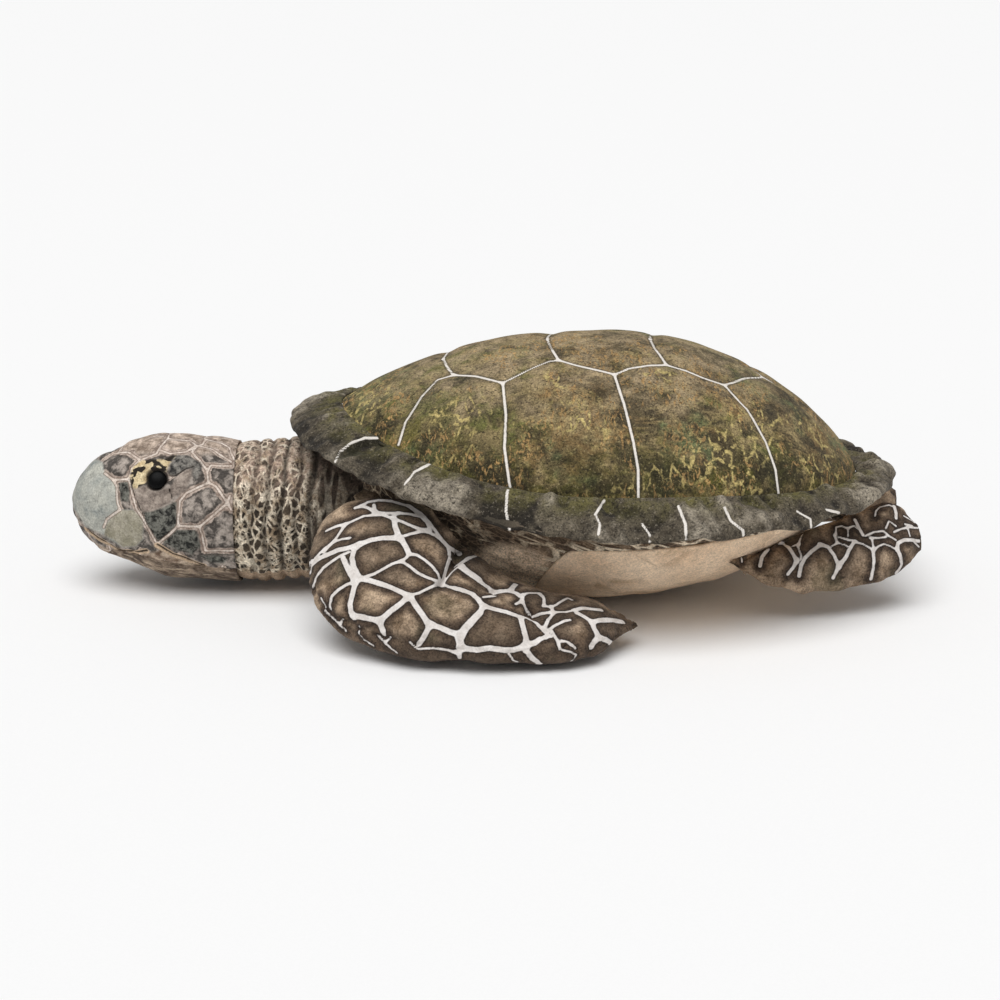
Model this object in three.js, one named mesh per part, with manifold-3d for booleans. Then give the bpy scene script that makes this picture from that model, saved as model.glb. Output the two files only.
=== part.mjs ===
// Plush sea turtle: a stuffed toy with a domed printed shell, a padded rim, a cream belly panel,
// a scuted head on a ringed neck, four netted flippers and a small tail.
// Millimetres, +Z up. The head faces -X and the animal's left side faces -Y.
// The origin is on the flat resting patch under the belly.

import * as THREE from "three";
import { mergeVertices } from "three/addons/utils/BufferGeometryUtils.js";
import Module from "manifold-3d";

const wasm = await Module();
wasm.setup();

// Cloth and stuffing
const clothThickness = 2;
const seamGap = 0.3;
const pillowSeamGap = 0.5;
const stuffingGap = 0.7;
const stuffingInset = clothThickness + stuffingGap;

// Shell dome
const domeLength = 360;
const domeWidth = 260;
const domeTop = 179;
const domeFrontBase = 133;
const domeSideBase = 98;
const domeRearBase = 84;
const domeSideCrownShares = { roundness: 2.2, fullness: 0.8 };
const domeFrontCrownShares = { roundness: 2, fullness: 1.25 };

// Shell rim
const rimLength = 422;
const rimWidth = 310;
const rimSetForward = 5;
const rimFrontEdge = 121;
const rimSideEdge = 77;
const rimRearEdge = 77;
const rimPadding = 2.6;
const rimWave = 1.6;
const rimWaveCount = 9;
const rimFrontRiseShare = 1.2;
const rimWaddingShares = [0.18, 0.82];

// Belly hull
const restCut = 0.5;
const hullSideShares = { roundness: 2, fullness: 0.41 };
const hullFrontShares = { roundness: 4, fullness: 0.35 };
const hullRearShares = { roundness: 2, fullness: 0.7 };
const bellySeamSideShare = 0.955;
const bellySeamFrontShare = 0.5;
const bellySeamTurnShares = [0.12, 0.6];
const bellyRowShare = 1.6;

// Neck
const neckPivotX = -150;
const neckPivotZ = 58;
const neckRearRadius = 52;
const neckMiddleRadius = 51;
const neckFrontRadius = 50.6;
const neckMiddleX = -205;
const neckMiddleShare = 0.45;
const neckClearance = 0.9;
const neckTuck = 2;
const nodDown = 12;
const nodSlack = 1;
const throatTop = 21;

// Head
const headPivotX = -236;
const headPivotZ = 53.5;
const headSeamX = -254;
const snoutX = -373;
const headHeight = 102;
const headWidth = 92;
const headMiddleZ = 57.5;
const headBallGap = 0.9;
const jawFrontShare = 0.86;
const jawFrontRise = 33;
const jawRearRise = 19;

// Eyes
const eyeDiameter = 13;
const eyeDome = 3.6;
const eyeRowShares = [1, 0.88, 0.65, 0.35, 0];
const eyeWallShare = 0.25;
const eyeX = -306;
const eyeRise = 31;
const eyePostDiameter = 3;
const eyePostLength = 9;
const washerDiameter = 12;
const washerThickness = 1.6;
const washerSlack = 1.9;
const eyeSeat = 0.5;

// Flippers: the front blade is placed from its foremost point and from the body's side
const frontForemostX = -201;
const frontReach = 222.6;
const frontRootY = 58;
const frontSpan = 134;
const frontRootZ = 84;
const frontTopSwell = 27;
const frontUnderSwell = 23.6;
const rearForemostX = 80;
const rearReach = 144;
const rearRootY = 34;
const rearSpan = 63;
const rearRootZ = 66;
const rearTopSwell = 18;
const rearUnderSwell = 17;
const pillowEdgeShare = 0.3;
const pillowRoundShare = 0.8;
const pillowStuffingGap = 1.2;
const pillowStuffingInset = clothThickness + pillowStuffingGap;

// Tail
const tailRootX = 158;
const tailRootZ = 55;
const tailLength = 36;
const tailWidth = 28;
const tailDrop = 14;
const tailSwell = 6;

// Face counts
const shellSides = 28;
const tubeSides = 24;
const eyeSides = 14;
const washerSides = 12;
const crownRows = 6;
const bellyRows = 6;
const sideRows = 3;
const rimRows = 3;
const neckRowShares = [0, 0.25, 0.5, 0.75, 1];
const lipRowShares = [0.5, 1];
const ballRowShares = [0.2, 0.4, 0.6, 0.8, 1];
const frontFlipperGrid = { rows: 12, columns: 7 };
const rearFlipperGrid = { rows: 9, columns: 6 };
const tailGrid = { rows: 5, columns: 4 };
const slopeStepShare = 1 / 64;

// How far a cutting form runs past what it cuts
const overrun = 20;

// Cloth colours
const cloth = (name, color) => ({ name, color, roughness: 0.95, metalness: 0 });
const oliveShell = cloth("olive shell plush", 0x55552f);
const greyRim = cloth("grey green rim plush", 0x5c5a4c);
const creamPlush = cloth("cream belly plush", 0xcdb48f);
const brownSkin = cloth("brown wrinkle plush", 0x5a4a3c);
const neckNet = cloth("netted neck plush", 0x8d7a5c);
const headScutes = cloth("scuted head plush", 0x7d7468);
const jawTan = cloth("tan jaw plush", 0x9a7c5c);
const flipperNet = cloth("netted flipper plush", 0x6a5a4c);
const whiteFibre = cloth("white polyester stuffing", 0xf2f0ea);
const blackPlastic = { name: "black eye plastic", color: 0x0b0b0c, roughness: 0.35, metalness: 0 };
const clearPlastic = { name: "washer plastic", color: 0xe4e2dc, roughness: 0.5, metalness: 0 };

const turtle = new THREE.Group();
turtle.name = "plush_turtle";

// Closed meshes from grids of points

function addStrip(points, rowA, rowB, wraps, turned = false) {
  const count = wraps ? rowA.length : rowA.length - 1;
  for (let i = 0; i < count; i += 1) {
    const next = (i + 1) % rowA.length;
    const faces = [[rowA[i], rowB[i], rowB[next]], [rowA[i], rowB[next], rowA[next]]];
    faces.forEach(([a, b, c]) => points.push(...(turned ? [a, c, b] : [a, b, c])));
  }
}

function signedVolume(geometry) {
  const place = geometry.attributes.position;
  const corners = [new THREE.Vector3(), new THREE.Vector3(), new THREE.Vector3()];
  let volume = 0;
  for (let i = 0; i < geometry.index.count; i += 3) {
    corners.forEach((corner, k) => corner.fromBufferAttribute(place, geometry.index.getX(i + k)));
    volume += corners[0].dot(corners[1].clone().cross(corners[2]));
  }
  return volume;
}

// Joins the points that meet, drops the faces that a pole folds flat and turns the faces outwards.
function closedGeometry(points) {
  const loose = new THREE.BufferGeometry();
  const places = points.flatMap((point) => point.toArray());
  loose.setAttribute("position", new THREE.Float32BufferAttribute(places, 3));
  const geometry = mergeVertices(loose);
  const faces = [];
  for (let i = 0; i < geometry.index.count; i += 3) {
    const [a, b, c] = [0, 1, 2].map((k) => geometry.index.getX(i + k));
    if (a !== b && b !== c && c !== a) {
      faces.push([a, b, c]);
    }
  }
  geometry.setIndex(faces.flat());
  if (signedVolume(geometry) < 0) {
    geometry.setIndex(faces.flatMap(([a, b, c]) => [a, c, b]));
  }
  geometry.computeVertexNormals();
  return geometry;
}

// A wall of cloth between two faces, or a filled form where the two faces meet at their edges.
function sheet(outer, inner, wraps) {
  const points = [];
  for (let i = 0; i < outer.length - 1; i += 1) {
    addStrip(points, outer[i], outer[i + 1], wraps);
    addStrip(points, inner[i], inner[i + 1], wraps, true);
  }
  const last = outer.length - 1;
  addStrip(points, inner[0], outer[0], wraps);
  addStrip(points, outer[last], inner[last], wraps);
  if (!wraps) {
    const end = outer[0].length - 1;
    addStrip(points, outer.map((row) => row[0]), inner.map((row) => row[0]), false);
    addStrip(points, inner.map((row) => row[end]), outer.map((row) => row[end]), false);
  }
  return closedGeometry(points);
}

// A filled form from one pole to the other.
function filled(rings) {
  const points = [];
  for (let i = 0; i < rings.length - 1; i += 1) {
    addStrip(points, rings[i], rings[i + 1], true);
  }
  return closedGeometry(points);
}

function grid(rows, columns, place) {
  return Array.from({ length: rows + 1 }, (_row, i) =>
    Array.from({ length: columns + 1 }, (_column, j) => place(i / rows, j / columns)));
}

function rings(rows, sides, place) {
  return grid(rows, sides, place).map((row) => row.slice(0, sides));
}

// Cuts and joins

function toSolid(geometry) {
  const bare = geometry.clone();
  bare.deleteAttribute("normal");
  bare.deleteAttribute("uv");
  const merged = mergeVertices(bare);
  return new wasm.Manifold(new wasm.Mesh({
    numProp: 3,
    vertProperties: new Float32Array(merged.attributes.position.array),
    triVerts: new Uint32Array(merged.index.array),
  }));
}

function toGeometry(solid) {
  const mesh = solid.getMesh();
  const geometry = new THREE.BufferGeometry();
  geometry.setAttribute("position", new THREE.BufferAttribute(mesh.vertProperties, 3));
  geometry.setIndex(new THREE.BufferAttribute(mesh.triVerts, 1));
  geometry.computeVertexNormals();
  return geometry;
}

function cutBy(geometry, ...tools) {
  return toGeometry(tools.reduce((solid, tool) => solid.subtract(toSolid(tool)), toSolid(geometry)));
}

function within(geometry, tool) {
  return toGeometry(toSolid(geometry).intersect(toSolid(tool)));
}

function addPiece(parent, name, geometry, finish) {
  const piece = new THREE.Mesh(geometry, new THREE.MeshStandardMaterial(finish));
  piece.name = name;
  parent.add(piece);
  return piece;
}

function mix(a, b, share) {
  return a + (b - a) * share;
}

function smoothShare(from, to, value) {
  const share = Math.min(1, Math.max(0, (value - from) / (to - from)));
  return share * share * (3 - 2 * share);
}

// Shell dome and belly hull: both are caps over one oval, whose turn starts at the front

function frontness(turn) {
  return Math.max(0, Math.cos(turn)) ** 2;
}

function rearness(turn) {
  return Math.max(0, -Math.cos(turn)) ** 2;
}

function ovalPoint(turn, length, width, z) {
  return new THREE.Vector3(-length / 2 * Math.cos(turn), width / 2 * Math.sin(turn), z);
}

function waistHeight(turn) {
  return domeSideBase
    + (domeFrontBase - domeSideBase) * frontness(turn)
    + (domeRearBase - domeSideBase) * rearness(turn);
}

function crown(reach, shares) {
  return (1 - Math.min(1, reach) ** shares.roundness) ** shares.fullness;
}

function mixedShares(side, front, rear, turn) {
  const blend = (key) => side[key] + (front[key] - side[key]) * frontness(turn)
    + (rear[key] - side[key]) * rearness(turn);
  return { roundness: blend("roundness"), fullness: blend("fullness") };
}

function domePoint(turn, reach, inset) {
  const shares = mixedShares(domeSideCrownShares, domeFrontCrownShares, domeSideCrownShares, turn);
  const waist = waistHeight(turn) + seamGap / 2;
  const height = mix(waist, domeTop - inset, crown(reach, shares));
  return ovalPoint(turn, (domeLength - 2 * inset) * reach, (domeWidth - 2 * inset) * reach, height);
}

function hullPoint(turn, reach, inset) {
  const shares = mixedShares(hullSideShares, hullFrontShares, hullRearShares, turn);
  const waist = waistHeight(turn) - seamGap / 2;
  const height = Math.max(inset, mix(waist, inset - restCut, crown(reach, shares)));
  return ovalPoint(turn, (domeLength - 2 * inset) * reach, (domeWidth - 2 * inset) * reach, height);
}

function reachOf(share) {
  return Math.sin(share * Math.PI / 2);
}

function fullTurn(share) {
  return share * 2 * Math.PI;
}

function domeCover() {
  const face = (inset) => rings(crownRows, shellSides, (row, side) =>
    domePoint(fullTurn(side), reachOf(1 - row), inset));
  return sheet(face(0), face(clothThickness), true);
}

// The belly seam keeps to the hull's side and swings in under the chest.
function bellySeamReach(turn) {
  const swing = smoothShare(bellySeamTurnShares[0], bellySeamTurnShares[1], Math.cos(turn));
  return mix(bellySeamSideShare, bellySeamFrontShare, swing);
}

const seamGapShare = seamGap / domeWidth;

// The first row of the belly lies inside the flat resting patch.
function bellyPoint(turn, row, inset) {
  const edge = Math.asin(bellySeamReach(turn) - seamGapShare) / (Math.PI / 2);
  return hullPoint(turn, reachOf(row ** bellyRowShare * edge), inset);
}

function sidePoint(turn, row, inset) {
  const edge = Math.asin(bellySeamReach(turn) + seamGapShare) / (Math.PI / 2);
  return hullPoint(turn, reachOf(mix(edge, 1, row)), inset);
}

function bellyPanel() {
  const face = (inset) => rings(bellyRows, shellSides, (row, side) =>
    bellyPoint(fullTurn(side), row, inset));
  return sheet(face(0), face(clothThickness), true);
}

function sideSkin(side) {
  const start = side > 0 ? 0 : Math.PI;
  const face = (inset) => grid(sideRows, shellSides / 2, (row, column) =>
    sidePoint(start + mix(seamGapShare, Math.PI - seamGapShare, column), row, inset));
  return sheet(face(0), face(clothThickness), false);
}

function bodyStuffing() {
  const inset = stuffingInset;
  const lower = rings(bellyRows, shellSides, (row, side) => bellyPoint(fullTurn(side), row, inset));
  const flank = rings(sideRows, shellSides, (row, side) => sidePoint(fullTurn(side), row, inset));
  const upper = rings(crownRows, shellSides, (row, side) =>
    domePoint(fullTurn(side), reachOf(1 - row), inset));
  return filled([...lower, ...flank, ...upper]);
}

// Shell rim: a padded skirt of a top cloth, an underside cloth and the wadding between them

function rimPoint(turn, share, lift) {
  const inner = ovalPoint(turn, domeLength + 2 * seamGap, domeWidth + 2 * seamGap, waistHeight(turn));
  const outer = ovalPoint(turn, rimLength, rimWidth, rimSideEdge);
  outer.x -= rimSetForward;
  outer.z += (rimFrontEdge - rimSideEdge) * Math.max(0, Math.cos(turn)) ** rimFrontRiseShare;
  outer.z += (rimRearEdge - rimSideEdge) * rearness(turn);
  outer.z += rimWave * Math.sin(rimWaveCount * turn) * (1 - frontness(turn));
  const point = inner.lerp(outer, share);
  point.z += lift;
  return point;
}

function rimFace(start, end, base, padding) {
  return rings(rimRows, shellSides, (row, side) => {
    const share = mix(start, end, row);
    return rimPoint(fullTurn(side), share, base + padding * Math.sin(row * Math.PI));
  });
}

function rimTop() {
  const low = seamGap / 2;
  const face = (height) => rimFace(0, 1, height, rimPadding);
  return sheet(face(low + clothThickness), face(low), true);
}

function rimUnderside() {
  const high = -seamGap / 2;
  const face = (height) => rimFace(0, 1, height, -rimPadding);
  return sheet(face(high), face(high - clothThickness), true);
}

function rimWadding() {
  const fill = rimPadding - stuffingGap;
  return sheet(rimFace(...rimWaddingShares, 0, fill), rimFace(...rimWaddingShares, 0, -fill), true);
}

// Neck: a ringed tube of skin with a paler throat, round a filling with a rounded front and rear

const neckBall = new THREE.Vector3(headPivotX, 0, headPivotZ);
const neckRoot = new THREE.Vector3(neckPivotX, 0, neckPivotZ);
const neckLine = new THREE.CatmullRomCurve3([
  new THREE.Vector3(neckPivotX, 0, neckPivotZ),
  new THREE.Vector3(neckMiddleX, 0, mix(neckPivotZ, headPivotZ, neckMiddleShare)),
  new THREE.Vector3(headPivotX, 0, headPivotZ),
]);

function neckRing(share, inset, sides) {
  const centre = neckLine.getPoint(share);
  const radius = share < 0.5
    ? mix(neckRearRadius, neckMiddleRadius, share * 2)
    : mix(neckMiddleRadius, neckFrontRadius, share * 2 - 1);
  return ringAt(centre, radius - inset, radius - inset, sides);
}

function ringAt(centre, halfHeight, halfWidth, sides) {
  return Array.from({ length: sides }, (_side, i) => {
    const angle = i / sides * 2 * Math.PI;
    return new THREE.Vector3(centre.x, halfWidth * Math.sin(angle), centre.z - halfHeight * Math.cos(angle));
  });
}

function ballRing(centre, radius, angle, towards, sides) {
  const ringCentre = centre.clone().add(new THREE.Vector3(towards * radius * Math.sin(angle), 0, 0));
  return ringAt(ringCentre, radius * Math.cos(angle), radius * Math.cos(angle), sides);
}

// The skin follows the front ball to just under the head's edge, so that edge can turn over it.
function neckTube() {
  const lipAngle = Math.asin((headPivotX - headSeamX + neckTuck) / neckFrontRadius);
  const face = (inset) => {
    const rows = neckRowShares.map((share) => neckRing(share, inset, tubeSides));
    const lip = lipRowShares.map((share) =>
      ballRing(neckBall, neckFrontRadius - inset, share * lipAngle, -1, tubeSides));
    return [...rows, ...lip];
  };
  return sheet(face(0), face(clothThickness), true);
}

function block(fromX, toX, fromZ, toZ) {
  const depth = domeWidth;
  const box = new THREE.BoxGeometry(toX - fromX, depth, toZ - fromZ);
  box.translate((fromX + toX) / 2, 0, (fromZ + toZ) / 2);
  return box;
}

function neckCover() {
  return cutBy(neckTube(), block(snoutX, 0, -overrun, throatTop + seamGap));
}

function throatPanel() {
  return within(neckTube(), block(snoutX, 0, -overrun, throatTop));
}

function neckStuffing() {
  const quarter = Math.PI / 2;
  const rear = ballRowShares.map((share) =>
    ballRing(neckRoot, neckRearRadius - stuffingInset, share * quarter, 1, tubeSides / 2));
  const front = ballRowShares.map((share) =>
    ballRing(neckBall, neckFrontRadius - stuffingInset, share * quarter, -1, tubeSides / 2));
  const middle = neckRowShares.map((share) => neckRing(share, stuffingInset, tubeSides / 2));
  return filled([...rear.reverse(), ...middle, ...front]);
}

// The room that the neck's rounded rear and its nod need inside the body.
function neckRoom() {
  const radius = neckRearRadius + neckClearance;
  const ball = new THREE.SphereGeometry(radius, tubeSides, tubeSides / 2);
  ball.rotateX(Math.PI / 2);
  ball.translate(neckPivotX, 0, neckPivotZ);
  const reach = neckPivotX - (-domeLength / 2) + overrun;
  const flare = reach * Math.tan(THREE.MathUtils.degToRad(nodDown + nodSlack));
  const mouth = new THREE.CylinderGeometry(radius, radius + flare, reach, tubeSides);
  mouth.rotateZ(-Math.PI / 2);
  mouth.translate(neckPivotX - reach / 2, 0, neckPivotZ);
  return toGeometry(toSolid(ball).add(toSolid(mouth)));
}

// Head: sections along the skull, as shares of the way to the snout, of the height and of the width
const headSectionShares = [
  { along: 0, middle: -0.04, high: 0.99, wide: 1.09 },
  { along: 0.2, middle: -0.02, high: 1, wide: 1.05 },
  { along: 0.43, middle: 0, high: 1, wide: 1 },
  { along: 0.62, middle: 0.02, high: 0.86, wide: 0.84 },
  { along: 0.74, middle: 0.004, high: 0.72, wide: 0.7 },
  { along: 0.83, middle: -0.02, high: 0.6, wide: 0.58 },
  { along: 0.93, middle: -0.01, high: 0.36, wide: 0.36 },
  { along: 0.98, middle: 0.005, high: 0.17, wide: 0.18 },
  { along: 1, middle: 0.01, high: 0, wide: 0 },
];

function headRing(section, inset, sides) {
  const narrowing = section.high === 0 ? 0 : 1;
  const x = mix(headSeamX, snoutX, section.along) + inset * section.along;
  const centre = new THREE.Vector3(x, 0, headMiddleZ + section.middle * headHeight);
  const halfHeight = Math.max(0, section.high * headHeight / 2 - inset * narrowing);
  const halfWidth = Math.max(0, section.wide * headWidth / 2 - inset * narrowing);
  return ringAt(centre, halfHeight, halfWidth, sides);
}

function headShell() {
  const face = (inset) => headSectionShares.map((section) => headRing(section, inset, tubeSides));
  return sheet(face(0), face(clothThickness), true);
}

// The jaw panel lies under a line from the corner of the mouth to the throat.
function jawBlock(spread) {
  const frontX = mix(headSeamX, snoutX, jawFrontShare);
  const outline = new THREE.Shape([
    new THREE.Vector2(headSeamX + overrun, -overrun),
    new THREE.Vector2(headSeamX + overrun, jawRearRise + spread),
    new THREE.Vector2(frontX - spread, jawFrontRise + spread),
    new THREE.Vector2(frontX - spread, -overrun),
  ]);
  const solid = new THREE.ExtrudeGeometry(outline, { depth: domeWidth, bevelEnabled: false });
  solid.rotateX(Math.PI / 2);
  solid.translate(0, domeWidth / 2, 0);
  return solid;
}

function ballRoom() {
  const ball = new THREE.SphereGeometry(neckFrontRadius + headBallGap, tubeSides, tubeSides / 2);
  ball.rotateX(Math.PI / 2);
  ball.translate(headPivotX, 0, headPivotZ);
  return ball;
}

// The frame of one eye: its seat on the head's side, and the way it looks out.
function eyeFrame(side) {
  const rise = THREE.MathUtils.degToRad(eyeRise);
  const outwards = new THREE.Vector3(0, side * Math.cos(rise), Math.sin(rise));
  const along = (eyeX - headSeamX) / (snoutX - headSeamX);
  const section = headSectionShares[2];
  const halfHeight = section.high * headHeight / 2;
  const halfWidth = section.wide * headWidth / 2;
  const slant = Math.atan2(Math.sin(rise) * halfHeight, Math.cos(rise) * halfWidth);
  const narrowing = 1 - Math.abs(along - section.along);
  const seat = new THREE.Vector3(
    eyeX,
    side * narrowing * halfWidth * Math.cos(slant),
    headMiddleZ + narrowing * halfHeight * Math.sin(slant),
  );
  const turn = new THREE.Quaternion().setFromUnitVectors(new THREE.Vector3(0, 0, 1), outwards);
  return new THREE.Matrix4().compose(seat, turn, new THREE.Vector3(1, 1, 1));
}

function rod(radius, fromZ, toZ, side) {
  const solid = new THREE.CylinderGeometry(radius, radius, toZ - fromZ, washerSides);
  solid.rotateX(Math.PI / 2);
  solid.translate(0, 0, (fromZ + toZ) / 2);
  solid.applyMatrix4(eyeFrame(side));
  return solid;
}

const washerDepth = clothThickness + eyeSeat + washerSlack;
const postHoleRadius = eyePostDiameter / 2 + seamGap;

function eye(side) {
  const radius = eyeDiameter / 2;
  const post = eyePostDiameter / 2;
  const dome = eyeRowShares.map((share) => {
    const slope = share * Math.PI / 2;
    const height = mix(eyeWallShare, 1, Math.cos(slope)) * eyeDome;
    return new THREE.Vector2(radius * Math.sin(slope), eyeSeat + height);
  });
  const profile = [
    new THREE.Vector2(0, -eyePostLength),
    new THREE.Vector2(post, -eyePostLength),
    new THREE.Vector2(post, eyeSeat),
    new THREE.Vector2(radius, eyeSeat),
    ...dome,
  ];
  const solid = new THREE.LatheGeometry(profile, eyeSides);
  solid.rotateX(Math.PI / 2);
  solid.applyMatrix4(eyeFrame(side));
  return solid;
}

function washer(side) {
  const outer = rod(washerDiameter / 2, -washerDepth - washerThickness, -washerDepth, side);
  const bore = rod(postHoleRadius, -washerDepth - washerThickness - overrun, overrun, side);
  return cutBy(outer, bore);
}

function postHole(side) {
  return rod(postHoleRadius, -overrun, overrun, side);
}

function washerPocket(side) {
  return rod(washerDiameter / 2 + seamGap, -eyePostLength - seamGap, overrun, side);
}

function headCover() {
  return cutBy(headShell(), jawBlock(seamGap), postHole(1), postHole(-1));
}

function jawPanel() {
  return within(headShell(), jawBlock(0));
}

function headStuffing() {
  const body = filled([
    Array(tubeSides).fill(new THREE.Vector3(headSeamX, 0, headMiddleZ)),
    ...headSectionShares.map((section) => headRing(section, stuffingInset, tubeSides)),
  ]);
  return cutBy(body, ballRoom(), washerPocket(1), washerPocket(-1));
}

// Flippers and tail: pillows between an outer and an inner edge, both written from the root to the tip

const frontFlipperShares = {
  outer: [
    [0.174, -0.031, 1], [0.02, 0.274, 0.7], [0.06, 0.655, 0.318], [0.29, 0.925, 0.18], [0.5, 1, 0.169],
    [0.71, 1, 0.159], [0.864, 0.9, 0.152], [0.977, 0.667, 0.157],
  ],
  inner: [
    [0.394, 0.314, 0.94], [0.411, 0.369, 0.88], [0.465, 0.395, 0.75], [0.533, 0.4, 0.6],
    [0.622, 0.395, 0.45], [0.73, 0.4, 0.33], [0.864, 0.46, 0.24], [0.99, 0.58, 0.15],
  ],
  swell: [0, 0.9, 1, 0.96, 0.84, 0.78, 0.6, 0.12],
};

const rearFlipperShares = {
  outer: [
    [0.025, 0.96, 0.68], [0.1, 1, 0.57], [0.24, 1, 0.47], [0.43, 0.92, 0.42], [0.64, 0.778, 0.42],
    [0.85, 0.54, 0.48], [0.985, 0.254, 0.62],
  ],
  inner: [
    [0.478, 0.328, 0.85], [0.565, 0.25, 0.8], [0.65, 0.14, 0.83], [0.72, 0.055, 0.89], [0.79, 0.016, 0.94],
    [0.89, 0.032, 0.92], [0.963, 0.143, 0.78],
  ],
  swell: [0, 0.55, 0.85, 1, 0.95, 0.7, 0.12],
};

const tailShares = {
  outer: [[0, 0.5, 0], [0.2, 0.5, -0.15], [0.55, 0.4, -0.5], [0.85, 0.24, -0.85], [1, 0.1, -1]],
  inner: [[0, -0.5, 0], [0.2, -0.5, -0.15], [0.55, -0.4, -0.5], [0.85, -0.24, -0.85], [1, -0.1, -1]],
  swell: [0, 0.8, 1, 0.7, 0.1],
};

function edgeCurve(shares, origin, size) {
  return new THREE.CatmullRomCurve3(shares.map(([x, y, z]) =>
    new THREE.Vector3(origin.x + x * size.x, origin.y + y * size.y, origin.z + z * size.z)));
}

function sampled(values, share) {
  const at = share * (values.length - 1);
  const low = Math.min(values.length - 2, Math.floor(at));
  return mix(values[low], values[low + 1], smoothShare(0, 1, at - low));
}

// A place on an edge, along the straight stitches between the rows, so that all faces share one seam.
function stitchPoint(curve, rows, along) {
  const low = Math.min(rows - 1, Math.floor(along * rows));
  const start = curve.getPoint(low / rows);
  return start.lerp(curve.getPoint((low + 1) / rows), along * rows - low);
}

// The way that the seam's surface faces upwards at a place between the two edges.
function seamNormal(outer, inner, along, across) {
  const place = (share) => outer.getPoint(share).lerp(inner.getPoint(share), across);
  const start = place(Math.max(0, along - slopeStepShare));
  const forwards = place(Math.min(1, along + slopeStepShare)).sub(start);
  const sideways = inner.getPoint(along).sub(outer.getPoint(along));
  return sideways.cross(forwards).normalize();
}

// One face of a pillow: its edges lie in the seam, and its middle swells up or down by a share of the swell.
function pillowFace(shape, inset, swell, seamLift) {
  const outer = edgeCurve(shape.shares.outer, shape.origin, shape.size);
  const inner = edgeCurve(shape.shares.inner, shape.origin, shape.size);
  const endShare = inset / outer.getLength();
  const peak = Math.max(...shape.shares.swell) * Math.abs(swell);
  const fill = swell * (1 - inset / peak);
  return grid(shape.rows, shape.columns, (row, column) => {
    const along = THREE.MathUtils.clamp(row, endShare, 1 - endShare);
    const from = stitchPoint(outer, shape.rows, along);
    const to = stitchPoint(inner, shape.rows, along);
    const edgeShare = Math.min(pillowEdgeShare, inset / from.distanceTo(to));
    const angle = column * Math.PI;
    const across = mix(edgeShare, 1 - edgeShare, (1 - Math.cos(angle)) / 2);
    const point = from.lerp(to, across);
    point.addScaledVector(seamNormal(outer, inner, along, across), seamLift);
    point.z += fill * sampled(shape.shares.swell, row) * Math.sin(angle) ** pillowRoundShare;
    point.z = Math.max(inset, point.z);
    return point;
  });
}

function pillowPanel(shape, swell, seamLift) {
  const face = (inset) => pillowFace(shape, inset, swell, seamLift);
  return sheet(face(0), face(clothThickness), false);
}

function pillowStuffing(shape) {
  const face = (swell, lift) => pillowFace(shape, pillowStuffingInset, swell, lift);
  return sheet(face(shape.topSwell, pillowSeamGap / 4), face(-shape.underSwell, -pillowSeamGap / 4), false);
}

function mirrored(geometry, side) {
  if (side > 0) {
    return geometry;
  }
  const flipped = geometry.clone();
  flipped.scale(1, -1, 1);
  const order = Array.from(flipped.index.array);
  for (let i = 0; i < order.length; i += 3) {
    [order[i], order[i + 1]] = [order[i + 1], order[i]];
  }
  flipped.setIndex(order);
  flipped.computeVertexNormals();
  return flipped;
}

function addPillow(name, side, shape) {
  const top = pillowPanel(shape, shape.topSwell, pillowSeamGap / 2);
  const under = pillowPanel(shape, -shape.underSwell, -pillowSeamGap / 2);
  addPiece(turtle, `${name}_top_panel`, mirrored(top, side), flipperNet);
  addPiece(turtle, `${name}_under_panel`, mirrored(under, side), flipperNet);
  addPiece(turtle, `${name}_stuffing`, mirrored(pillowStuffing(shape), side), whiteFibre);
}

const frontFlipper = {
  ...frontFlipperGrid,
  shares: frontFlipperShares,
  origin: new THREE.Vector3(frontForemostX, frontRootY, 0),
  size: new THREE.Vector3(frontReach, frontSpan, frontRootZ),
  topSwell: frontTopSwell,
  underSwell: frontUnderSwell,
};

const rearFlipper = {
  ...rearFlipperGrid,
  shares: rearFlipperShares,
  origin: new THREE.Vector3(rearForemostX, rearRootY, 0),
  size: new THREE.Vector3(rearReach, rearSpan, rearRootZ),
  topSwell: rearTopSwell,
  underSwell: rearUnderSwell,
};

const tail = {
  ...tailGrid,
  shares: tailShares,
  origin: new THREE.Vector3(tailRootX, 0, tailRootZ),
  size: new THREE.Vector3(tailLength, tailWidth, tailDrop),
  topSwell: tailSwell,
  underSwell: tailSwell,
};

// The turtle

const room = neckRoom();
addPiece(turtle, "shell_dome_cover", domeCover(), oliveShell);
addPiece(turtle, "shell_rim_top", rimTop(), greyRim);
addPiece(turtle, "shell_rim_underside", rimUnderside(), creamPlush);
addPiece(turtle, "shell_rim_wadding", rimWadding(), whiteFibre);
addPiece(turtle, "belly_panel", cutBy(bellyPanel(), room), creamPlush);
addPiece(turtle, "side_skin_left", cutBy(sideSkin(-1), room), brownSkin);
addPiece(turtle, "side_skin_right", cutBy(sideSkin(1), room), brownSkin);
addPiece(turtle, "body_stuffing", cutBy(bodyStuffing(), room), whiteFibre);
addPiece(turtle, "neck_cover", neckCover(), neckNet);
addPiece(turtle, "throat_panel", throatPanel(), jawTan);
addPiece(turtle, "neck_stuffing", neckStuffing(), whiteFibre);
addPiece(turtle, "head_cover", headCover(), headScutes);
addPiece(turtle, "jaw_panel", jawPanel(), jawTan);
addPiece(turtle, "head_stuffing", headStuffing(), whiteFibre);
for (const [sideName, side] of [["left", -1], ["right", 1]]) {
  addPiece(turtle, `eye_${sideName}`, eye(side), blackPlastic);
  addPiece(turtle, `eye_washer_${sideName}`, washer(side), clearPlastic);
  addPillow(`front_flipper_${sideName}`, side, frontFlipper);
  addPillow(`rear_flipper_${sideName}`, side, rearFlipper);
}
addPillow("tail", 1, tail);

export default turtle;
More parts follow.
